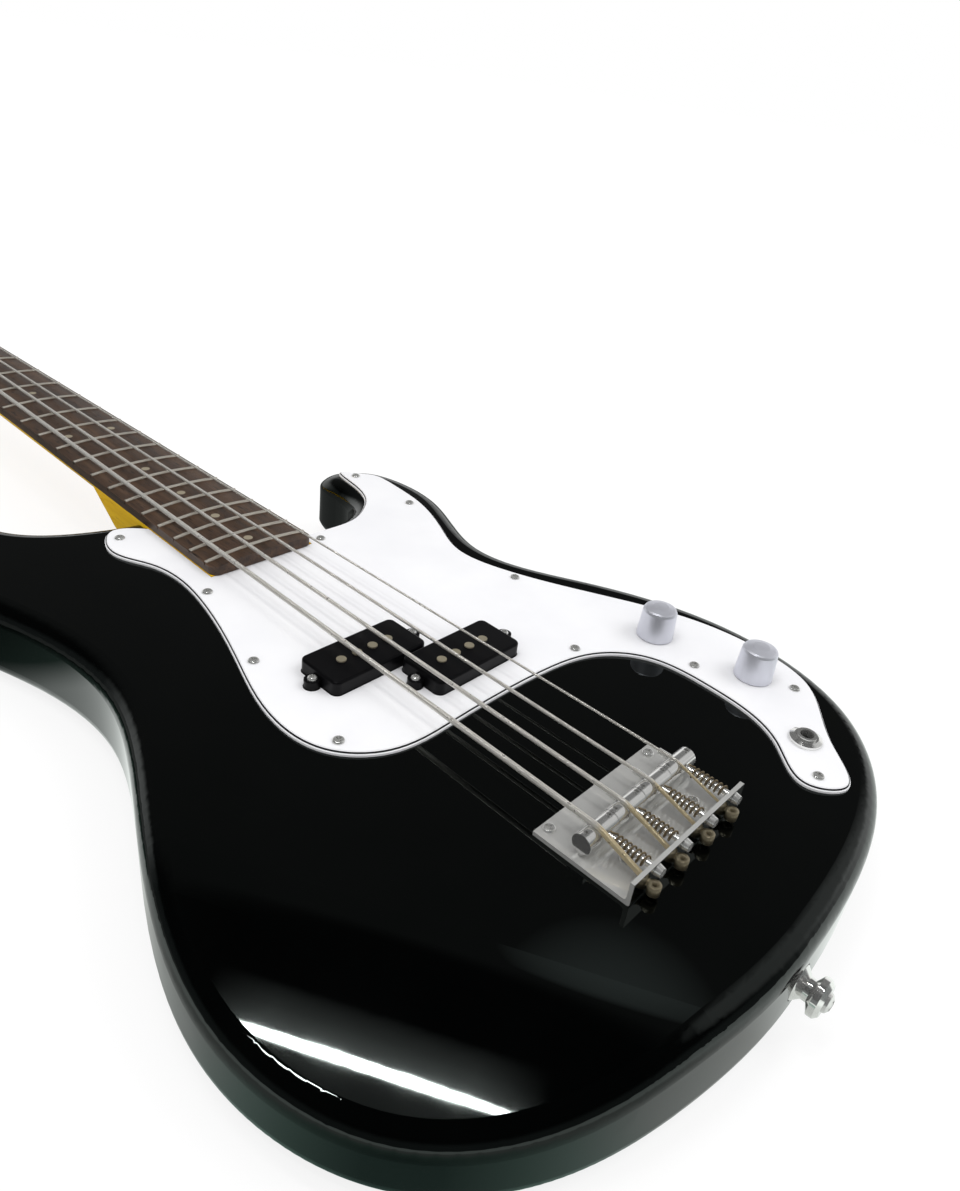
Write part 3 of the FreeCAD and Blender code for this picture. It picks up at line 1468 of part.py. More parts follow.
def make_pots():
    """Two controls under the guard, their washers and nuts above it, and their shafts."""
    cans = []
    nuts = []
    bore = d.shaft_radius + d.running_fit
    for name, (x, y) in zip(("volume", "tone"), control_places()):
        can = turned(name + "_pot", (
            (bore, -d.pot_height * 0.6), (bore, d.guard_thick + d.pot_bushing_proud),
            (d.pot_bushing_radius, d.guard_thick + d.pot_bushing_proud), (d.pot_bushing_radius, 0),
            (d.pot_radius, 0), (d.pot_radius, -d.pot_height), (0, -d.pot_height), (0, -d.pot_height * 0.6),
        ), (x, y, top))
        cans.append(can)
        thread = d.pot_bushing_radius + d.screw_fit
        nuts.append(turned(name + "_nut", (
            (thread, 0), (d.pot_nut_radius, 0), (d.pot_nut_radius, d.pot_nut_height * 0.7),
            (d.pot_nut_radius * 0.92, d.pot_nut_height), (thread, d.pot_nut_height),
        ), (x, y, guard_top)))
        foot = top - d.pot_height * 0.6 + d.slide_gap
        length = guard_top + d.shaft_proud - foot
        node(name + "_shaft", rod(name + "_shaft", d.shaft_radius, length, (x, y, foot)))
    node("pots", group("pots", cans))
    node("pot_nuts", group("pot_nuts", nuts))


def make_knob(name, centre):
    """A slightly tapered knob with a crowned top, hollow below to clear the nut."""
    shaft = d.shaft_radius + d.slide_gap
    roof = d.shaft_proud - d.knob_gap + d.slide_gap
    body = turned(name, (
        (d.knob_hollow_radius, 0), (d.knob_base_radius, 0),
        (d.knob_top_radius, d.knob_height - d.knob_edge),
        (d.knob_top_radius - d.knob_edge * 0.35, d.knob_height - d.knob_edge * 0.35),
        (d.knob_top_radius - d.knob_edge, d.knob_height),
        (d.knob_top_radius * 0.45, d.knob_height + d.knob_crown * 0.8),
        (0, d.knob_height + d.knob_crown), (0, roof), (shaft, roof),
        (shaft, d.knob_hollow_depth), (d.knob_hollow_radius, d.knob_hollow_depth),
    ), (centre[0], centre[1], guard_top + d.knob_gap))
    return node(name, body)


def make_jack():
    """Jack barrel with its shoulder under the guard, and its contact leaf."""
    at = (*outline_point(JACK_SHARE), top)
    barrel = turned("jack_barrel", (
        (d.jack_bore_radius, -d.jack_body_thick), (d.jack_body_radius, -d.jack_body_thick),
        (d.jack_body_radius, 0), (d.jack_barrel_radius, 0),
        (d.jack_barrel_radius, d.guard_thick + d.jack_barrel_proud),
        (d.jack_bore_radius, d.guard_thick + d.jack_barrel_proud),
    ), at)
    body = new_body("jack_leaf")
    drawing = sketch(body, "XZ_Plane", -d.jack_leaf_width / 2)
    far = d.jack_body_radius - d.jack_leaf_thick
    near = d.jack_bore_radius + d.jack_leaf_thick * 0.4
    low = -d.jack_body_thick - d.jack_leaf_length
    loop(drawing, (
        (far, -d.jack_body_thick), (far, low * 0.6), (near + d.jack_leaf_thick, low), (near, low),
        (far - d.jack_leaf_thick, low * 0.6), (far - d.jack_leaf_thick, -d.jack_body_thick),
    ))
    pad(body, drawing, d.jack_leaf_width, "leaf")
    place(body, at)
    node("output_jack", group("output_jack", [barrel, body]))
    thread = d.jack_barrel_radius + d.screw_fit
    nut = turned("jack_nut", (
        (thread, 0), (d.jack_nut_radius, 0), (d.jack_nut_radius, d.jack_nut_height - d.jack_nut_bevel),
        (d.jack_nut_radius - d.jack_nut_bevel * 2, d.jack_nut_height), (thread, d.jack_nut_height),
    ), (*outline_point(JACK_SHARE), guard_top))
    node("jack_nut", nut)


def lead(begin, end, level):
    """A wire down from one point, along a channel at a level and up to another point."""
    bend = d.wire_bend
    low_begin = FreeCAD.Vector(begin.x, begin.y, level)
    low_end = FreeCAD.Vector(end.x, end.y, level)
    run = towards(low_begin, low_end)
    stations = (
        (begin, DOWN), (low_begin + UP * bend, DOWN), (low_begin + run * bend, run),
        (low_end - run * bend, run), (low_end + UP * bend, UP), (end, UP),
    )
    return tube(stations, d.wire_radius)


def make_electrics():
    """The tone capacitor between the controls, and the leads from pickup to jack."""
    volume, tone = control_places()
    middle_x = (volume[0] + tone[0]) / 2
    middle_y = (volume[1] + tone[1]) / 2
    floor = top - d.channel_depth + d.screw_fit
    at = (middle_x - d.capacitor_thick, middle_y, floor + d.capacitor_radius)
    node("tone_capacitor", rod("tone_capacitor", d.capacitor_radius, d.capacitor_thick, at, ACROSS))
    treble_x, treble_y = pickup_places()[1]
    coil_end = d.pickup_length / 2 - d.pickup_wall - d.bobbin_gap
    can = top - d.pot_height - d.screw_fit
    aside = d.pot_radius * 0.4
    under = top - d.jack_body_thick - d.screw_fit
    rim = d.jack_body_radius * 0.7
    jack_x, jack_y = outline_point(JACK_SHARE)
    ends = (
        (FreeCAD.Vector(treble_x + coil_end * 0.83, treble_y, bobbin_low - d.screw_fit),
         FreeCAD.Vector(volume[0] - aside, volume[1] + aside, can)),
        (FreeCAD.Vector(volume[0] + aside, volume[1] - aside, can),
         FreeCAD.Vector(tone[0] + aside, tone[1] + aside, can)),
        (FreeCAD.Vector(tone[0] - aside, tone[1] - aside, can),
         FreeCAD.Vector(jack_x, jack_y + rim, under)),
    )
    wires = [lead(begin, end, top - d.wire_level) for begin, end in ends]
    node("wiring", shaped("wiring", Part.Compound(wires)))


# Fixings


def make_neck_plate():
    body = new_body("joint_plate")
    drawing = sketch(body, "XY_Plane")
    half = d.joint_plate_width / 2
    low = heel_end + d.joint_plate_inset
    loop(drawing, box_corners(-half, half, low, low + d.joint_plate_length))
    blank = pad(body, drawing, d.joint_plate_thick, "plate")
    round_edges(body, blank, d.joint_plate_corner, upright, "corners")
    plate_holes = []
    for x, y in joint_screw_places():
        sink = d.joint_head_radius + d.screw_fit
        through = d.joint_screw_radius + d.screw_fit
        plate_holes.append(cone("sink", sink, through, d.joint_plate_thick, (x, y, 0)))
    return node("neck_plate", cut("neck_plate", body, plate_holes))


def make_neck_screws():
    screws = []
    length = pocket_floor - d.joint_plate_thick + d.joint_screw_bite
    for x, y in joint_screw_places():
        head = cone("neck_head", d.joint_head_radius, d.joint_screw_radius, d.joint_plate_thick, (x, y, 0))
        shank = rod("neck_shank", d.joint_screw_radius, length, (x, y, d.joint_plate_thick))
        recess = cross_bars((x, y, 0), DOWN, d.joint_head_radius, d.joint_plate_thick * 0.6)
        screws.append(cut("neck_screw", fuse("neck_screw_blank", [head, shank]), recess))
    return node("neck_screws", group("neck_screws", screws))


def make_strap_buttons():
    buttons = []
    screws = []
    bore = d.button_screw_radius + d.screw_fit
    waist = d.button_base_thick + d.button_waist_length
    end = waist + d.button_rim_thick
    for (x, y, z), along in strap_button_places():
        buttons.append(turned("strap_button", (
            (bore, 0), (d.button_base_radius, 0), (d.button_base_radius, d.button_base_thick * 0.6),
            (d.button_waist_radius, d.button_base_thick + d.button_waist_length * 0.35),
            (d.button_waist_radius, waist - d.button_waist_length * 0.3),
            (d.button_rim_radius, waist), (d.button_rim_radius, end - d.button_rim_thick * 0.4),
            (d.button_rim_radius * 0.8, end), (bore, end),
        ), (x, y, z), along))
        head_at = (x, y + end if along == AHEAD else y - end, z)
        head = (d.button_head_radius, d.button_head_height)
        shank = (d.button_screw_radius, end + d.button_screw_bite)
        screws.append(screw("strap_screw", head_at, along * -1, head, shank))
    node("strap_buttons", group("strap_buttons", buttons))
    node("strap_button_screws", group("strap_button_screws", screws))


# Tuners


def tuner_turn():
    return 180 - math.degrees(post_slant())


def make_tuner_housing(centre):
    """Base plate on the headstock's back, gear case below it and a sleeve for the key's shaft."""
    body = new_body("tuner_housing")
    drawing = sketch(body, "XY_Plane")
    half = d.tuner_plate_width / 2
    loop(drawing, box_corners(-d.tuner_plate_back, d.tuner_plate_front, -half, half))
    pad(body, drawing, d.tuner_plate_thick, "base_plate", upward=False)
    drawing = sketch(body, "XY_Plane", -d.tuner_plate_thick)
    half = d.tuner_case_width / 2
    loop(drawing, box_corners(-d.tuner_case_back, d.tuner_plate_front, -half, half))
    case = pad(body, drawing, d.tuner_case_depth, "gear_case", upward=False)
    floor = -d.tuner_plate_thick - d.tuner_case_depth
    round_edges(body, case, d.tuner_case_round, lambda edge: flat_at(edge, floor), "case_round")
    drawing = sketch(body, "YZ_Plane", d.tuner_plate_front)
    ring(drawing, d.key_offset, -d.key_drop, d.tuner_sleeve_radius)
    pad(body, drawing, d.tuner_sleeve_length, "sleeve")
    drawing = sketch(body, "YZ_Plane", d.tuner_plate_front + d.tuner_sleeve_length)
    ring(drawing, d.key_offset, -d.key_drop, d.key_shaft_radius + d.running_fit)
    bore = d.tuner_sleeve_length + d.key_shaft_depth + d.slide_gap
    pocket(body, drawing, bore, "key_bore")
    depth = d.tuner_plate_thick + d.tuner_case_depth * 0.7
    drill(body, 0, [(0, 0)], d.post_neck_radius + d.running_fit, depth)
    back = d.tuner_screw_margin - d.tuner_plate_back
    aside = d.tuner_plate_width / 2 - d.tuner_screw_margin
    spots = [(back, side * aside) for side in (-1, 1)]
    drill(body, 0, spots, d.tuner_screw_radius + d.screw_fit, d.tuner_plate_thick + d.overrun)
    return place(body, (centre[0], centre[1], head_back), UP, tuner_turn())


def make_tuner_key(name, centre):
    """An oval paddle on a shaft that runs into the gear case."""
    body = new_body("tuner_key_" + name)
    inner = d.tuner_plate_front - d.key_shaft_depth
    outer = d.tuner_plate_front + d.tuner_sleeve_length
    drawing = sketch(body, "YZ_Plane", inner)
    ring(drawing, d.key_offset, -d.key_drop, d.key_shaft_radius)
    pad(body, drawing, outer + d.key_shaft_proud - inner, "shaft")
    drawing = sketch(body, "YZ_Plane", outer + d.slide_gap)
    ring(drawing, d.key_offset, -d.key_drop, d.key_collar_radius)
    pad(body, drawing, d.key_collar_length, "collar")
    drawing = sketch(body, "XY_Plane", -d.key_drop - d.key_thick / 2)
    middle = outer + d.key_shaft_proud + d.key_length * 0.42
    reach = d.key_length / 2
    wide = d.key_width / 2
    outline = [(middle + reach * x, d.key_offset + wide * y) for x, y in (
        (1.0, 0.0), (0.80, 0.66), (0.05, 1.0), (-0.72, 0.62), (-1.0, 0.0),
        (-0.72, -0.62), (0.05, -1.0), (0.80, -0.66))]
    smooth_loop(drawing, outline)
    paddle = pad(body, drawing, d.key_thick, "paddle")
    low = -d.key_drop - d.key_thick / 2
    high = -d.key_drop + d.key_thick / 2

    def paddle_rim(edge):
        return flat_at(edge, low) or flat_at(edge, high)

    round_edges(body, paddle, d.key_round, paddle_rim, "paddle_round")
    place(body, (centre[0], centre[1], head_back), UP, tuner_turn())
    return node("tuner_key_" + name, body)


def make_tuner_post(name, centre):
    """A string post: slim where it runs in the bushing, thick and slotted where the string winds."""
    foot = -d.tuner_plate_thick - d.tuner_case_depth * 0.7 + d.slide_gap
    shoulder = d.head_thick + d.bushing_flange_thick + d.slide_gap
    winding = wrap_pitch(name) * float(d.wrap_turns)
    end = wrap_level(name) - head_back + winding + string_size(name) + d.post_top_room
    base = turned("post_" + name, (
        (0, foot), (d.post_neck_radius, foot), (d.post_neck_radius, shoulder), (d.post_radius, shoulder),
        (d.post_radius, end - d.post_top_room * 0.2), (d.post_radius * 0.88, end), (0, end),
    ), (centre[0], centre[1], head_back))
    half = d.post_slot_width / 2
    size = (d.post_slot_width, d.post_radius * 3, d.post_slot_depth + d.overrun)
    at = (centre[0] - half, centre[1] - d.post_radius * 1.5, head_back + end - d.post_slot_depth)
    slot = block("post_slot", size, at)
    return node("tuner_post_" + name, cut("tuner_post_" + name, base, [slot]))


def make_tuners():
    cases = []
    bushings = []
    bore = d.post_neck_radius + d.running_fit
    for name, centre in zip(STRINGS, post_places()):
        cases.append(make_tuner_housing(centre))
        make_tuner_key(name, centre)
        make_tuner_post(name, centre)
        bushings.append(turned("tuner_bushing", (
            (bore, -d.bushing_depth), (d.bushing_radius, -d.bushing_depth), (d.bushing_radius, 0),
            (d.bushing_flange_radius, 0), (d.bushing_flange_radius, d.bushing_flange_thick * 0.5),
            (d.bushing_flange_radius * 0.85, d.bushing_flange_thick), (bore, d.bushing_flange_thick),
        ), (centre[0], centre[1], head_face)))
    level = head_back - d.tuner_plate_thick
    head = (d.tuner_head_radius, d.tuner_head_height)
    shank = (d.tuner_screw_radius, d.tuner_plate_thick + d.tuner_screw_bite)
    screws = screw_set("tuner_screws", level, tuner_screw_places(), head, shank, heads_up=False)
    node("tuner_housings", group("tuner_housings", cases))
    node("tuner_bushings", group("tuner_bushings", bushings))
    node("tuner_screws", screws)


def make_string_tree():
    """A round retainer over the two treble strings, on a stem with its screw."""
    x, y = tree_spot()
    levels = []
    for index, name in list(enumerate(STRINGS))[2:]:
        start, end = string_stations(index, name)[4][0], string_stations(index, name)[5][0]
        share = (y - d.tree_radius - start.y) / (end.y - start.y)
        levels.append((start.z + (end.z - start.z) * share + string_size(name) + d.string_fit - head_face))
    under = max(levels)
    bore = d.tree_screw_radius + d.screw_fit
    body = turned("tree", (
        (bore, 0), (d.tree_stem_radius, 0), (d.tree_stem_radius, under), (d.tree_radius, under),
        (d.tree_radius, under + d.tree_thick * 0.5), (d.tree_radius * 0.8, under + d.tree_thick),
        (bore, under + d.tree_thick),
    ), (x, y, head_face))
    head = (d.tree_head_radius, d.tree_head_height)
    high = under + d.tree_thick
    shank = (d.tree_screw_radius, high + d.tree_screw_bite)
    fixing = screw("tree_screw", (x, y, head_face + high), DOWN, head, shank)
    return node("string_tree", group("string_tree", [body, fixing]))


def make_all():
    make_body()
    make_neck()
    make_fingerboard()
    make_frets()
    make_dots()
    make_nut()
    make_truss_rod()
    make_strings()
    make_bridge_plate()
    for index, name in enumerate(STRINGS):
        make_saddle(index, name)
        make_intonation_screw(index, name)
    make_springs()
    make_bridge_screws()
    make_pickguard()
    make_guard_screws()
    for name, centre in zip(("pickup_cover_bass", "pickup_cover_treble"), pickup_places()):
        make_pickup_cover(name, centre)
    make_pickup_insides()
    make_pickup_screws()
    make_pots()
    for name, centre in zip(("volume_knob", "tone_knob"), control_places()):
        make_knob(name, centre)
    make_jack()
    make_electrics()
    make_neck_plate()
    make_neck_screws()
    make_strap_buttons()
    make_tuners()
    make_string_tree()
    doc.recompute()


def check_all():
    """Stop before writing anything if an object failed or a piece has no sound shape."""
    for item in doc.Objects:
        if "Invalid" in item.State or "Error" in item.State:
            raise RuntimeError("{} failed: {}".format(item.Label, item.State))
    for piece in nodes:
        if piece.Shape.isNull() or not piece.Shape.isValid() or not piece.Shape.Solids:
            raise RuntimeError("{} has no sound shape".format(piece.Label))


make_all()
check_all()
os.makedirs("parts", exist_ok=True)
for piece in nodes:
    piece.Shape.exportStep("parts/{}.step".format(piece.Label))
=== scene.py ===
import json
import math

import bmesh
import bpy
from mathutils import Matrix, Vector

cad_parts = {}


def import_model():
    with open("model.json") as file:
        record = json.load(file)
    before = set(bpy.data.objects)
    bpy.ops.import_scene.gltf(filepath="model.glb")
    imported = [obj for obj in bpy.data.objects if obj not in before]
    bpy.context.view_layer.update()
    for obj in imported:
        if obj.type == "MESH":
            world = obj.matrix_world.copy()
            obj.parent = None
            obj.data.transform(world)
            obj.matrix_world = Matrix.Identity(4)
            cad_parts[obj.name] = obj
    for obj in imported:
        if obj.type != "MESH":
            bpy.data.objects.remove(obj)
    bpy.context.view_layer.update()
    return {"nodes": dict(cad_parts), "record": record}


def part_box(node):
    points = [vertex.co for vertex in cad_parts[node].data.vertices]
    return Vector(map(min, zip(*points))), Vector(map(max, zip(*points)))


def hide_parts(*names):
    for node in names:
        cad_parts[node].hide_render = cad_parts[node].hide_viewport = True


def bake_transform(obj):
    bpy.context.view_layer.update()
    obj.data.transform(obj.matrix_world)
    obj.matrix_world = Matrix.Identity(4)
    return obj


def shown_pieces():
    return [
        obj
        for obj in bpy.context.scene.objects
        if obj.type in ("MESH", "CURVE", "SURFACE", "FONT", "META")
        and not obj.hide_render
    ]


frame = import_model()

# An electric bass guitar on a pale floor. Metres.
# The imported solids keep their shapes and get their finishes here.
# The strings are split in two at their saddles, and the springs are copied into pieces of their own.

nodes = frame["nodes"]
scene = bpy.context.scene
STRINGS = "eadg"
# The outer and the inner face of the bridge plate's flange, along Y.
PLATE_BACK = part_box("bridge_plate")[0][1]
FLANGE_FACE = -0.025
# A length ahead of a saddle.
STRING_GIVE = 0.2
# Points nearer than this are one, and edges nearer than this to a cut lie on it.
WELD = 1e-6
CUT_SLACK = 1e-5
SHARP_ANGLE = math.radians(65)


# Node trees


def fill_ramp(node, stops):
    """Give a colour ramp its colours or greys, each with its place."""
    steps = node.color_ramp.elements
    while len(steps) < len(stops):
        steps.new(0.5)
    for step, (at, colour) in zip(steps, stops):
        step.position = at
        step.color = (*colour, 1) if isinstance(colour, tuple) else (colour, colour, colour, 1)


def vector_math(tree, operation, first, second=None):
    """What an operation makes of two vectors, each a socket or three numbers."""
    node = tree.nodes.new("ShaderNodeVectorMath")
    node.operation = operation
    for value, socket in zip((first, second), node.inputs):
        if isinstance(value, bpy.types.NodeSocket):
            tree.links.new(value, socket)
        elif value is not None:
            socket.default_value = value
    one_number = operation in ("DISTANCE", "DOT_PRODUCT", "LENGTH")
    return node.outputs["Value" if one_number else "Vector"]


def mix_shaders(tree, share, first, second):
    """The first shader, or the second by a share."""
    node = tree.nodes.new("ShaderNodeMixShader")
    for value, socket in zip((share, first, second), node.inputs):
        tree.links.new(value, socket)
    return node.outputs[0]


def emission(tree, strength=1.0, colour=None):
    """Light of one strength, white or in the colour that a socket gives."""
    node = tree.nodes.new("ShaderNodeEmission")
    node.inputs["Strength"].default_value = strength
    if colour is not None:
        tree.links.new(colour, node.inputs["Color"])
    return node.outputs[0]


class Graph:
    """A material's node tree, with short calls for what the finishes below need."""

    def __init__(self, name):
        self.material = bpy.data.materials.new(name)
        self.material.use_nodes = True
        self.tree = self.material.node_tree
        self.tree.nodes.clear()
        self.shader = self.tree.nodes.new("ShaderNodeBsdfPrincipled")
        self.output = self.tree.nodes.new("ShaderNodeOutputMaterial")
        self.link(self.shader.outputs["BSDF"], self.output.inputs["Surface"])
        self.place = self.tree.nodes.new("ShaderNodeTexCoord").outputs["Object"]

    def link(self, start, end):
        self.tree.links.new(start, end)

    def set(self, **values):
        """Plain values on the shader's own sockets."""
        for key, value in values.items():
            self.shader.inputs[key.replace("_", " ")].default_value = value
        return self

    def axis(self, name):
        """One of the object coordinates."""
        node = self.tree.nodes.new("ShaderNodeSeparateXYZ")
        self.link(self.place, node.inputs["Vector"])
        return node.outputs[name]

    def stretch(self, scale, turn=(0, 0, 0)):
        """Object coordinates scaled by an amount along each axis."""
        node = self.tree.nodes.new("ShaderNodeMapping")
        node.inputs["Scale"].default_value = scale
        node.inputs["Rotation"].default_value = turn
        self.link(self.place, node.inputs["Vector"])
        return node.outputs["Vector"]

    def noise(self, scale, detail=3.0, where=None, rough=0.55):
        """Cloudy noise of 0 to 1."""
        node = self.tree.nodes.new("ShaderNodeTexNoise")
        node.inputs["Scale"].default_value = scale
        node.inputs["Detail"].default_value = detail
        node.inputs["Roughness"].default_value = rough
        self.link(where or self.place, node.inputs["Vector"])
        return node.outputs["Fac"]

    def wave(self, scale, direction, distortion=0.0, where=None):
        """Bands that repeat along a direction."""
        node = self.tree.nodes.new("ShaderNodeTexWave")
        node.bands_direction = direction
        node.inputs["Scale"].default_value = scale
        node.inputs["Distortion"].default_value = distortion
        self.link(where or self.place, node.inputs["Vector"])
        return node.outputs["Fac"]

    def ramp(self, value, stops):
        """Colours or greys at places along a value."""
        node = self.tree.nodes.new("ShaderNodeValToRGB")
        fill_ramp(node, stops)
        self.link(value, node.inputs["Fac"])
        return node.outputs["Color"]

    def between(self, value, start, end, low, high):
        """A value from low to high as another goes from start to end."""
        node = self.tree.nodes.new("ShaderNodeMapRange")
        for key, number in (("From Min", start), ("From Max", end), ("To Min", low), ("To Max", high)):
            node.inputs[key].default_value = number
        self.link(value, node.inputs["Value"])
        return node.outputs["Result"]

    def span(self, value, low, high):
        """A value of 0 to 1 spread between two others."""
        return self.between(value, 0.0, 1.0, low, high)

    def mix(self, share, first, second, how="MIX"):
        """Two colours mixed by a share; each is a socket or plain numbers."""
        node = self.tree.nodes.new("ShaderNodeMix")
        node.data_type = "RGBA"
        node.blend_type = how
        for value, socket in ((share, node.inputs[0]), (first, node.inputs[6]), (second, node.inputs[7])):
            if isinstance(value, bpy.types.NodeSocket):
                self.link(value, socket)
            else:
                socket.default_value = value if isinstance(value, float) else (*value, 1)
        return node.outputs[2]

    def colour(self, value):
        self.link(value, self.shader.inputs["Base Color"])
        return self

    def roughness(self, value):
        self.link(value, self.shader.inputs["Roughness"])
        return self

    def bump(self, height, strength, distance):
        """Small relief by a height of 0 to 1."""
        node = self.tree.nodes.new("ShaderNodeBump")
        node.inputs["Strength"].default_value = strength
        node.inputs["Distance"].default_value = distance
        self.link(height, node.inputs["Height"])
        self.link(node.outputs["Normal"], self.shader.inputs["Normal"])
        return self


def shaded(colour, share):
    """A colour made darker, to a share of itself."""
    return tuple(part * share for part in colour)


# Finishes


def lacquer():
    """Deep gloss black with a faint ripple and a little haze."""
    g = Graph("body_lacquer").set(IOR=1.48, Specular_Tint=(0.88, 1.0, 0.95, 1.0))
    g.colour(g.ramp(g.noise(14), ((0.35, (0.0004, 0.0005, 0.0005)), (0.7, (0.0008, 0.0009, 0.0009)))))
    g.roughness(g.span(g.noise(55, 4), 0.012, 0.035))
    return g.bump(g.noise(90, 2), 0.02, 0.0002).material


# The stretch of the neck, along Y, over which its amber grows paler.
AMBER_ENDS = (0.45, 0.85)


def maple():
    """Amber lacquered maple, its grain along the neck; the amber grows paler towards the headstock."""
    g = Graph("maple").set(IOR=1.40, Specular_IOR_Level=0.08)
    grain = g.noise(34, 6, g.stretch((5.0, 0.22, 5.0)))
    flecks = g.noise(210, 3, g.stretch((3.0, 0.35, 3.0)))
    rings = g.wave(26, "X", 5.0, g.stretch((2.2, 0.16, 1.3), (0, 0, 0.05)))
    amber = g.ramp(grain, (
        (0.25, (0.66, 0.37, 0.010)), (0.5, (0.80, 0.49, 0.014)), (0.75, (0.86, 0.56, 0.022))))
    paler = g.ramp(grain, (
        (0.25, (0.62, 0.37, 0.07)), (0.5, (0.74, 0.47, 0.11)), (0.75, (0.82, 0.55, 0.15))))
    wood = g.mix(g.between(g.axis("Y"), *AMBER_ENDS, 0.0, 1.0), amber, paler)
    wood = g.mix(g.ramp(rings, ((0.62, 0.0), (0.95, 0.42))), wood, (0.52, 0.26, 0.010))
    g.colour(g.mix(g.ramp(flecks, ((0.58, 0.0), (0.70, 0.50))), wood, (0.40, 0.18, 0.006)))
    g.roughness(g.span(g.noise(70), 0.16, 0.30))
    return g.bump(grain, 0.06, 0.0004).material


def rosewood():
    """Dark brown wood with darker streaks and open pores along the strings."""
    g = Graph("rosewood").set(IOR=1.46)
    streaks = g.noise(46, 7, g.stretch((4.2, 0.16, 4.2)), 0.62)
    pores = g.noise(520, 3, g.stretch((2.6, 0.22, 2.6)))
    wood = g.ramp(streaks, (
        (0.28, (0.022, 0.012, 0.007)), (0.5, (0.058, 0.030, 0.016)), (0.72, (0.110, 0.060, 0.032))))
    holes = g.ramp(pores, ((0.56, 0.0), (0.66, 1.0)))
    g.colour(g.mix(holes, wood, (0.010, 0.005, 0.004)))
    g.roughness(g.span(streaks, 0.34, 0.56))
    return g.bump(g.ramp(pores, ((0.54, 1.0), (0.68, 0.0))), 0.25, 0.0003).material


def metal_graph(name, colour, low, high, scratch=(1.0, 1.0, 1.0), metallic=1.0):
    """Bright metal with fine scratches and smudges in its roughness."""
    g = Graph(name).set(Metallic=metallic, IOR=2.2)
    marks = g.noise(480, 5, g.stretch(scratch))
    smudge = g.noise(38, 3)
    g.colour(g.ramp(smudge, ((0.3, shaded(colour, 0.90)), (0.65, colour))))
    g.roughness(g.span(g.mix(0.5, marks, smudge), low, high))
    return g.bump(marks, 0.03, 0.0001)


def metal(*values, **named):
    """The finished material of such a metal."""
    return metal_graph(*values, **named).material


FLANGE_FADE = 0.0002


def plate_nickel():
    """The bridge plate, all metal on the outer face of its flange and half metal elsewhere."""
    g = metal_graph("plate_nickel", (0.70, 0.70, 0.68), 0.07, 0.15, (0.4, 3.0, 1.0))
    metallic = g.between(g.axis("Y"), PLATE_BACK, PLATE_BACK + FLANGE_FADE, 1.0, 0.5)
    g.link(metallic, g.shader.inputs["Metallic"])
    return g.material


def middle(name):
    """The centre of a node's box."""
    low, high = (Vector(corner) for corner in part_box(name))
    return (low + high) / 2


STRING_COLOUR = (0.80, 0.77, 0.71)
TWIST_COLOUR = (0.60, 0.50, 0.31)
BALL_COLOUR = (0.26, 0.22, 0.14)
WINDING_PITCH = 0.0005
TWIST_FADE = 0.004
BALL_FADE = 0.0005
# A wave texture turns through twenty radians for each unit of length and of scale.
WAVE_RADIANS = 20.0


def wound_string():
    """Wire wound on a core: ridges across the string with painted shade in the grooves between them, a
    bronze twist behind the saddle, and a ball end.
    """
    g = Graph("wound_string").set(Metallic=0.65, IOR=2.2)
    ridges = g.wave(2 * math.pi / (WAVE_RADIANS * WINDING_PITCH), "Y")
    # The grooves between the windings are darker: painted shade.
    wire_with_painted_groove_shade = g.ramp(ridges, ((0.15, shaded(STRING_COLOUR, 0.45)), (0.6, STRING_COLOUR)))
    wire = g.mix(0.35, wire_with_painted_groove_shade, STRING_COLOUR)
    saddle = middle("saddle_e").y
    to_twist = g.between(g.axis("Y"), saddle, saddle - TWIST_FADE, 0.0, 1.0)
    to_ball = g.between(g.axis("Y"), PLATE_BACK, PLATE_BACK - BALL_FADE, 0.0, 1.0)
    g.colour(g.mix(to_ball, g.mix(to_twist, wire, TWIST_COLOUR), BALL_COLOUR))
    g.roughness(g.span(g.noise(300, 3), 0.22, 0.38))
    return g.bump(ridges, 0.5, 0.00012).material


def plastic(name, colour, low, high, grain, bumped, tint=0.12, coat=0.0, gloss=0.5):
    """Moulded plastic with a fine skin and slight unevenness of colour."""
    g = Graph(name).set(IOR=1.49, Specular_IOR_Level=gloss, Coat_Weight=coat, Coat_Roughness=0.05)
    g.colour(g.ramp(g.noise(30, 3), ((0.3, shaded(colour, 1 - tint)), (0.7, colour))))
    g.roughness(g.span(g.noise(90, 4), low, high))
    return g.bump(g.noise(grain, 2), bumped, 0.0001).material


def guard_sheet():
    """Three layers: white, a black core that shows on the bevel, and white below."""
    g = Graph("guard_sheet").set(IOR=1.49, Coat_Weight=0.25, Coat_Roughness=0.06)
    low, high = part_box("pickguard")
    white = (0.83, 0.83, 0.845)
    core = (0.012, 0.012, 0.013)
    layers = g.ramp(g.between(g.axis("Z"), low[2], high[2], 0.0, 1.0), (
        (0.0, white), (0.58, white), (0.60, core), (0.82, core), (0.84, white), (1.0, white)))
    haze = g.ramp(g.noise(22, 3), ((0.3, (0.94, 0.94, 0.95)), (0.7, 1.0)))
    g.colour(g.mix(1.0, layers, haze, "MULTIPLY"))
    g.roughness(g.span(g.noise(80, 4), 0.16, 0.30))
    return g.bump(g.noise(420, 2), 0.03, 0.0001).material


def coil_copper():
    """Fine enamelled wire in close layers, darker in the grooves between turns: painted shade."""
    g = Graph("coil_copper").set(Metallic=1.0, IOR=2.0)
    turns = g.wave(700, "Z")
    # Darker in the grooves between turns: painted shade.
    g.colour(g.ramp(turns, ((0.2, (0.20, 0.07, 0.02)), (0.7, (0.52, 0.22, 0.08)))))
    g.roughness(g.span(g.noise(200), 0.3, 0.5))
    return g.bump(turns, 0.4, 0.0001).material


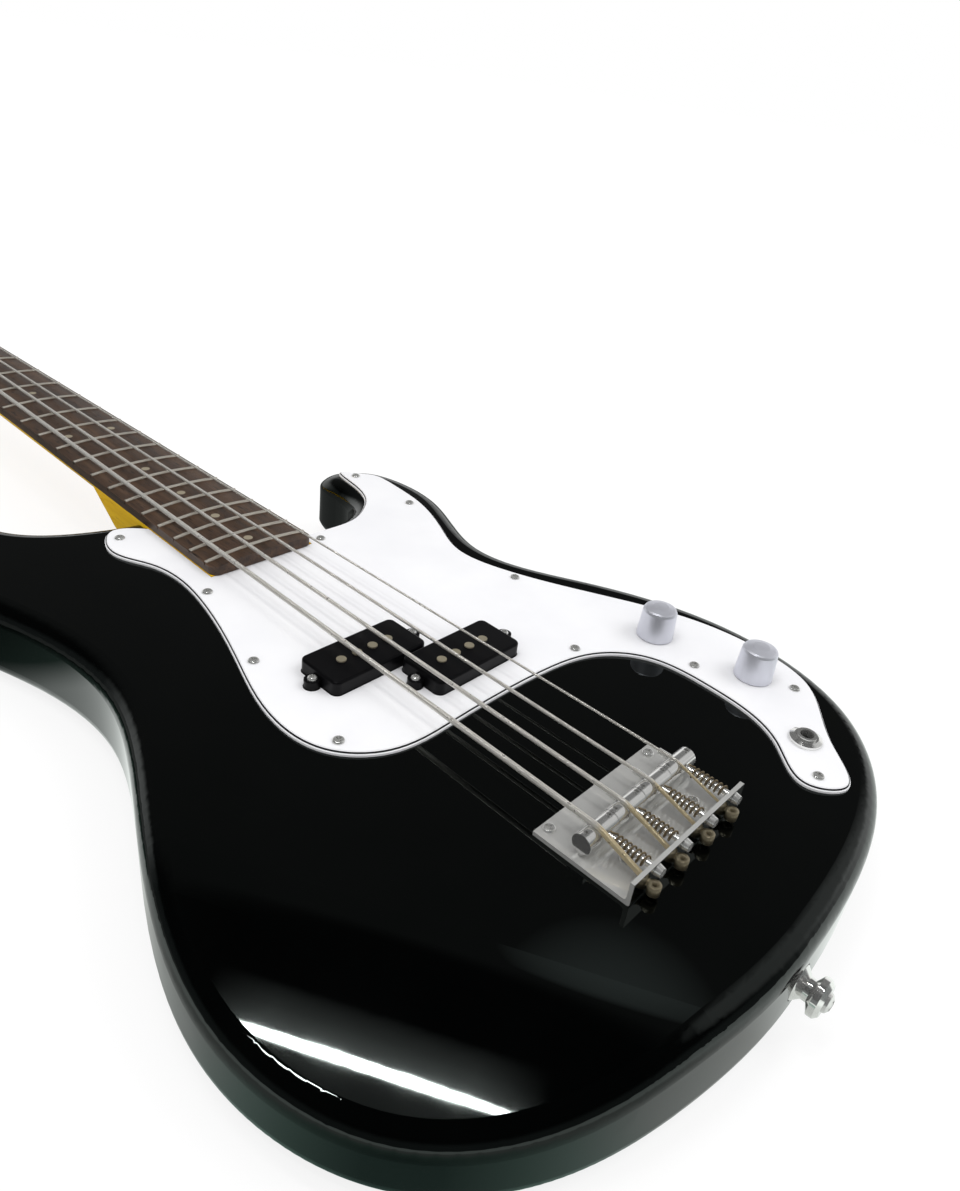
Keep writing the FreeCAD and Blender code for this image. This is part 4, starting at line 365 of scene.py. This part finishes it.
def cloth_wire():
    """Woven cover of the leads."""
    g = Graph("wire_cover").set(IOR=1.4)
    weave = g.wave(900, "DIAGONAL")
    g.colour(g.ramp(weave, ((0.3, (0.42, 0.40, 0.33)), (0.7, (0.70, 0.67, 0.58)))))
    g.roughness(g.span(weave, 0.75, 0.9))
    return g.bump(weave, 0.4, 0.0002).material


def foam():
    """Black foam with open cells."""
    g = Graph("foam").set(IOR=1.35)
    cells = g.noise(900, 5)
    g.colour(g.ramp(cells, ((0.4, 0.008), (0.65, 0.05))))
    g.roughness(g.span(cells, 0.8, 0.95))
    return g.bump(cells, 0.8, 0.0006).material


COVER_COLOUR = (0.0026, 0.0025, 0.0032)

# One finish for each slot in the record, and a softer nickel that the bridge plate wears instead of chrome.
MATERIALS = {
    "body_lacquer": lacquer(),
    "maple": maple(),
    "rosewood": rosewood(),
    "fret_wire": metal("fret_wire", (0.80, 0.75, 0.66), 0.28, 0.44, (0.3, 6.0, 1.0), metallic=0.75),
    "cream_inlay": plastic("cream_inlay", (0.28, 0.24, 0.17), 0.34, 0.48, 300, 0.05, 0.18),
    "nut_bone": plastic("nut_bone", (0.76, 0.70, 0.56), 0.32, 0.48, 240, 0.08, 0.15),
    "plain_steel": metal("plain_steel", (0.56, 0.56, 0.57), 0.24, 0.42, (1.0, 1.0, 5.0)),
    "chrome": metal("chrome", (0.90, 0.90, 0.88), 0.07, 0.15, metallic=0.88),
    "wound_string": wound_string(),
    "screw_steel": metal("screw_steel", (0.80, 0.80, 0.78), 0.16, 0.32, metallic=0.75),
    # The springs' gold-brown steel is darkened for the shade they sit in behind the saddles: partly painted
    # shade.
    "spring_steel": metal("spring_steel", (0.24, 0.18, 0.10), 0.34, 0.50, metallic=0.8),
    "guard_sheet": guard_sheet(),
    "pickup_black": plastic("pickup_black", COVER_COLOUR, 0.30, 0.46, 900, 0.10, 0.25, gloss=0.14),
    "pole_steel": metal("pole_steel", (0.56, 0.50, 0.36), 0.30, 0.46, metallic=0.75),
    "fibre_board": plastic("fibre_board", (0.03, 0.03, 0.03), 0.6, 0.8, 1200, 0.2),
    "coil_copper": coil_copper(),
    "foam": foam(),
    "knob_metal": metal("knob_metal", (0.74, 0.75, 0.82), 0.34, 0.50, (1.0, 1.0, 0.3), metallic=0.68),
    "plate_nickel": plate_nickel(),
    "pot_metal": metal("pot_metal", (0.60, 0.60, 0.60), 0.28, 0.46),
    "capacitor_case": plastic("capacitor_case", (0.40, 0.10, 0.04), 0.2, 0.35, 500, 0.05, 0.2, 0.4),
    "wire_cover": cloth_wire(),
}


def paint(piece, slot_name):
    """Give a piece the finish of a slot in the record."""
    piece.data.materials.clear()
    piece.data.materials.append(MATERIALS[slot_name])


slot_of = {part["node"]: part["material_slot"] for part in frame["record"]["subparts"]}
for node_name, node in nodes.items():
    paint(node, slot_of[node_name])
nodes["bridge_plate"].data.materials[0] = MATERIALS["plate_nickel"]


# Strings and springs, as pieces of their own


def add_piece(name, mesh):
    """A new object in the scene with a mesh of its own."""
    piece = bpy.data.objects.new(name, mesh)
    scene.collection.objects.link(piece)
    return piece


def split_copy(name, source, level, keep_high):
    """A copy of a node's mesh on one side of a cross cut, closed at the cut."""
    mesh = source.data.copy()
    mesh.name = name
    work = bmesh.new()
    work.from_mesh(mesh)
    bmesh.ops.remove_doubles(work, verts=work.verts, dist=WELD)
    everything = work.verts[:] + work.edges[:] + work.faces[:]
    bmesh.ops.bisect_plane(
        work, geom=everything, plane_co=(0, level, 0), plane_no=(0, 1, 0),
        clear_inner=keep_high, clear_outer=not keep_high)
    rim = [edge for edge in work.edges if edge.is_boundary and abs(edge.verts[0].co.y - level) < CUT_SLACK]
    bmesh.ops.holes_fill(work, edges=rim)
    bmesh.ops.recalc_face_normals(work, faces=work.faces)
    work.to_mesh(mesh)
    work.free()
    return add_piece(name, mesh)


def dress_string(letter):
    """A string in two pieces that meet on its saddle."""
    saddle = middle("saddle_" + letter)
    wire = nodes["string_" + letter]
    tail = split_copy("string_tail_" + letter, wire, saddle.y, False)
    front = split_copy("string_front_" + letter, wire, saddle.y, True)
    for piece in (tail, front):
        paint(piece, "wound_string")
    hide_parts("string_" + letter)
    for piece, fixed_end in ((tail, FLANGE_FACE), (front, saddle.y + STRING_GIVE)):
        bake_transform(piece)


def dress_spring(letter):
    """A spring between the flange and its saddle, as a copy of its node."""
    node_name = "intonation_spring_" + letter
    spring = add_piece("spring_" + letter, nodes[node_name].data.copy())
    paint(spring, "spring_steel")
    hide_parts(node_name)
    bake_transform(spring)


for letter in STRINGS:
    dress_string(letter)
    dress_spring(letter)

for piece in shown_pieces():
    for face in piece.data.polygons:
        face.use_smooth = True
    piece.data.set_sharp_from_angle(angle=SHARP_ANGLE)


# Floor and room

FLOOR_REACH = 12.0
FLOOR_DROP = 0.0005
# The camera sees a share of the floor's own glow near the object, and all of it further off.
FLOOR_GLOW = 1.04
NEAR_SHARE = 0.78
GLOW_ENDS = (0.5, 1.4)
# The middles of the two places of painted shade on the floor, which only the gloss sees.
TAIL_SHADE = (-0.158, -0.035, 0)
WAIST_SHADE = (-0.20, 0.30, 0)


def floor_in_gloss_with_painted_shade(g):
    """The floor as the lacquer mirrors it, with painted shade by the tail and the waist and ahead of the
    body, where the body and the neck would shade it.
    """
    # Painted shade: the mirrored floor is darker near the tail, near the waist and ahead of the body.
    tail = g.ramp(vector_math(g.tree, "DISTANCE", g.place, TAIL_SHADE), (
        (0.015, (0.09, 0.15, 0.13)), (0.045, (0.19, 0.29, 0.25)), (0.065, (0.28, 0.38, 0.34)),
        (0.10, (0.45, 0.48, 0.46)), (0.15, (0.50, 0.52, 0.50)), (0.21, (0.95, 1.0, 0.97))))
    waist = g.ramp(vector_math(g.tree, "DISTANCE", g.place, WAIST_SHADE), (
        (0.055, (0.10, 0.15, 0.13)), (0.077, 1.0)))
    ahead = g.ramp(g.axis("Y"), ((0.27, 1.0), (0.33, 0.2)))
    return vector_math(g.tree, "MULTIPLY", vector_math(g.tree, "MULTIPLY", tail, waist), ahead)


def floor():
    """A pale floor: nearly white to the camera, with the object's soft shadow left on it."""
    mesh = bpy.data.meshes.new("floor")
    corners = [(x * FLOOR_REACH, y * FLOOR_REACH, 0) for x, y in ((-1, -1), (1, -1), (1, 1), (-1, 1))]
    mesh.from_pydata(corners, [], [(0, 1, 2, 3)])
    plane = add_piece("floor", mesh)
    plane.location.z = -FLOOR_DROP
    g = Graph("floor").set(Roughness=0.6, IOR=1.3)
    g.colour(g.ramp(g.noise(3), ((0.3, 0.86), (0.7, 0.88))))
    path = g.tree.nodes.new("ShaderNodeLightPath")
    away = vector_math(g.tree, "LENGTH", g.place)
    seen = g.tree.nodes.new("ShaderNodeMath")
    seen.operation = "MULTIPLY"
    g.link(path.outputs["Is Camera Ray"], seen.inputs[0])
    g.link(g.between(away, *GLOW_ENDS, NEAR_SHARE, 1.0), seen.inputs[1])
    layer = mix_shaders(g.tree, seen.outputs[0], g.shader.outputs["BSDF"], emission(g.tree, FLOOR_GLOW))
    # To glossy rays the floor glows, with painted shade near the body.
    mirrored = emission(g.tree, colour=floor_in_gloss_with_painted_shade(g))
    layer = mix_shaders(g.tree, path.outputs["Is Glossy Ray"], layer, mirrored)
    g.link(layer, g.output.inputs["Surface"])
    mesh.materials.append(g.material)


# Directions in the room that the gloss sees.
UP = (0.0, 0.0, 1.0)
FAR_WAY = (0.8, 0.6, 0.0)
CEILING_WAY = (0.112, 0.195, 0.974)
PATCH_WAY = (0.532, 0.211, 0.820)
GLINT_WAY = (0.68, -0.42, 0.61)
SOFT_LIGHT = 0.92


def world():
    """White to the camera and for soft light; gloss sees a dark room with a pale far wall."""
    sky = bpy.data.worlds.new("studio")
    scene.world = sky
    sky.use_nodes = True
    tree = sky.node_tree
    tree.nodes.clear()
    output = tree.nodes.new("ShaderNodeOutputWorld")
    path = tree.nodes.new("ShaderNodeLightPath")
    heading = tree.nodes.new("ShaderNodeTexCoord").outputs["Generated"]

    def glow(strength, colour=None):
        """Background light, white or in the colour that a socket gives."""
        node = tree.nodes.new("ShaderNodeBackground")
        node.inputs["Color"].default_value = (1, 1, 1, 1)
        node.inputs["Strength"].default_value = strength
        if colour is not None:
            tree.links.new(colour, node.inputs["Color"])
        return node.outputs[0]

    def around(way, far_stop, near_stop):
        """One colour far from a direction and another near it, each with its cosine."""
        ramp = tree.nodes.new("ShaderNodeValToRGB")
        ramp.color_ramp.interpolation = "EASE"
        fill_ramp(ramp, (far_stop, near_stop))
        tree.links.new(vector_math(tree, "DOT_PRODUCT", heading, way), ramp.inputs["Fac"])
        return ramp.outputs["Color"]

    room = around(UP, (0.22, 1.0), (0.46, 0.070))
    for operation, shade in (
            ("MULTIPLY", around(FAR_WAY, (0.0, (0.09, 0.10, 0.10)), (0.5, 0.9))),
            ("MULTIPLY", around(CEILING_WAY, (0.945, 1.0), (0.98, 0.08))),
            ("ADD", around(PATCH_WAY, (0.9935, 0.0), (0.9985, (0.34, 0.38, 0.38)))),
            ("ADD", around(GLINT_WAY, (0.88, 0.0), (0.985, 0.4)))):
        room = vector_math(tree, operation, room, shade)
    light = mix_shaders(tree, path.outputs["Is Glossy Ray"], glow(SOFT_LIGHT), glow(1.0, room))
    seen = mix_shaders(tree, path.outputs["Is Camera Ray"], light, glow(1.0))
    tree.links.new(seen, output.inputs["Surface"])


# Lamps

KEY_PLACE = Vector((0.9, -0.75, 1.6))
KEY_TARGET = Vector((0.0, 0.1, 0.0))
KEY_SIDE = 1.0
KEY_POWER = 10
TUBE_START = Vector((-0.246, 0.577, 1.5))
TUBE_END = Vector((0.056, 0.007, 1.5))
# The tube's housing: its height over the tube, and its brightness along and across.
HOUSING_RISE = 0.004
HOUSING_ENDS = ((0.0, 0.0), (0.2, 1.0), (0.8, 1.0), (1.0, 0.0))
HOUSING_PROFILE = (
    (0.0, 0.0), (0.2, 0.16), (0.47, 0.26), (0.50, 0.0), (0.61, 0.0), (0.645, 1.0), (0.8, 0.42), (1.0, 0.0))


def area_lamp(name, shape, length, width, power):
    """A flat lamp with its power in watts."""
    data = bpy.data.lights.new(name, "AREA")
    data.shape = shape
    data.size = length
    data.size_y = width
    data.energy = power
    lamp = bpy.data.objects.new(name, data)
    scene.collection.objects.link(lamp)
    return lamp


def key_light():
    """A broad soft lamp, whose own mirror image is kept off the gloss."""
    lamp = area_lamp("key", "RECTANGLE", KEY_SIDE, KEY_SIDE, KEY_POWER)
    lamp.location = KEY_PLACE
    lamp.rotation_euler = (KEY_TARGET - KEY_PLACE).to_track_quat("-Z", "Y").to_euler()
    lamp.visible_glossy = False


def strip(name, aside, width, radiance, middle_share=0.5, length_share=1.0):
    """A long lamp beside the tube's line, facing down; the forearm contour mirrors it."""
    run = TUBE_END - TUBE_START
    length = run.length * length_share
    ellipse_area = math.pi / 4 * length * width
    lamp = area_lamp(name, "ELLIPSE", length, width, radiance * math.pi * ellipse_area)
    lamp.location = TUBE_START + run * middle_share + Vector((-run.y, run.x, 0)).normalized() * aside
    lamp.rotation_euler = (0, 0, math.atan2(run.y, run.x))
    return lamp


def reflector(aside, width, radiance):
    """The tube's dim housing, bright by a share at places across its width and fading at its ends."""
    lamp = strip("reflector", aside, width, radiance)
    lamp.location.z += HOUSING_RISE
    lamp.data.shape = "RECTANGLE"
    lamp.data.use_nodes = True
    tree = lamp.data.node_tree
    tree.nodes.clear()
    place = tree.nodes.new("ShaderNodeSeparateXYZ")
    tree.links.new(tree.nodes.new("ShaderNodeNewGeometry").outputs["Parametric"], place.inputs[0])
    shades = []
    for axis, stops in (("X", HOUSING_ENDS), ("Y", HOUSING_PROFILE)):
        ramp = tree.nodes.new("ShaderNodeValToRGB")
        fill_ramp(ramp, stops)
        tree.links.new(place.outputs[axis], ramp.inputs["Fac"])
        shades.append(ramp.outputs["Color"])
    output = tree.nodes.new("ShaderNodeOutputLight")
    glow = emission(tree, colour=vector_math(tree, "MULTIPLY", *shades))
    tree.links.new(glow, output.inputs["Surface"])


# Camera

# The photograph's size, with the focal length and the centre in its pixels.
PHOTO_WIDTH = 960.0
PHOTO_HEIGHT = 1191.0
FOCAL = 905.6
CENTRE = (492.56, 578.36)
EYE = Vector((-0.25751, -0.11855, 0.30174))
TURN = Vector((1.99994654, -0.79478427, 0.61816739))
SENSOR_WIDTH = 36.0
NEAREST = 0.01


def camera():
    """The photograph's view: TURN is the axis of the camera's rotation, as long as its angle."""
    data = bpy.data.cameras.new("camera")
    data.sensor_fit = "HORIZONTAL"
    data.sensor_width = SENSOR_WIDTH
    data.lens = SENSOR_WIDTH * FOCAL / PHOTO_WIDTH
    data.shift_x = (PHOTO_WIDTH / 2 - CENTRE[0]) / PHOTO_WIDTH
    data.shift_y = (CENTRE[1] - PHOTO_HEIGHT / 2) / PHOTO_WIDTH
    data.clip_start = NEAREST
    eye = bpy.data.objects.new("camera", data)
    scene.collection.objects.link(eye)
    right, down, ahead = Matrix.Rotation(TURN.length, 3, TURN)
    axes = Matrix((right, -down, -ahead)).transposed()
    eye.matrix_world = Matrix.Translation(EYE) @ axes.to_4x4()
    scene.camera = eye


floor()
world()
key_light()
strip("tube", aside=-0.018, width=0.019, radiance=110)
strip("second_tube", aside=-0.40, width=0.05, radiance=60, middle_share=0.16, length_share=0.5)
reflector(aside=-0.030, width=0.200, radiance=1.6)
camera()
scene.view_settings.view_transform = "Standard"
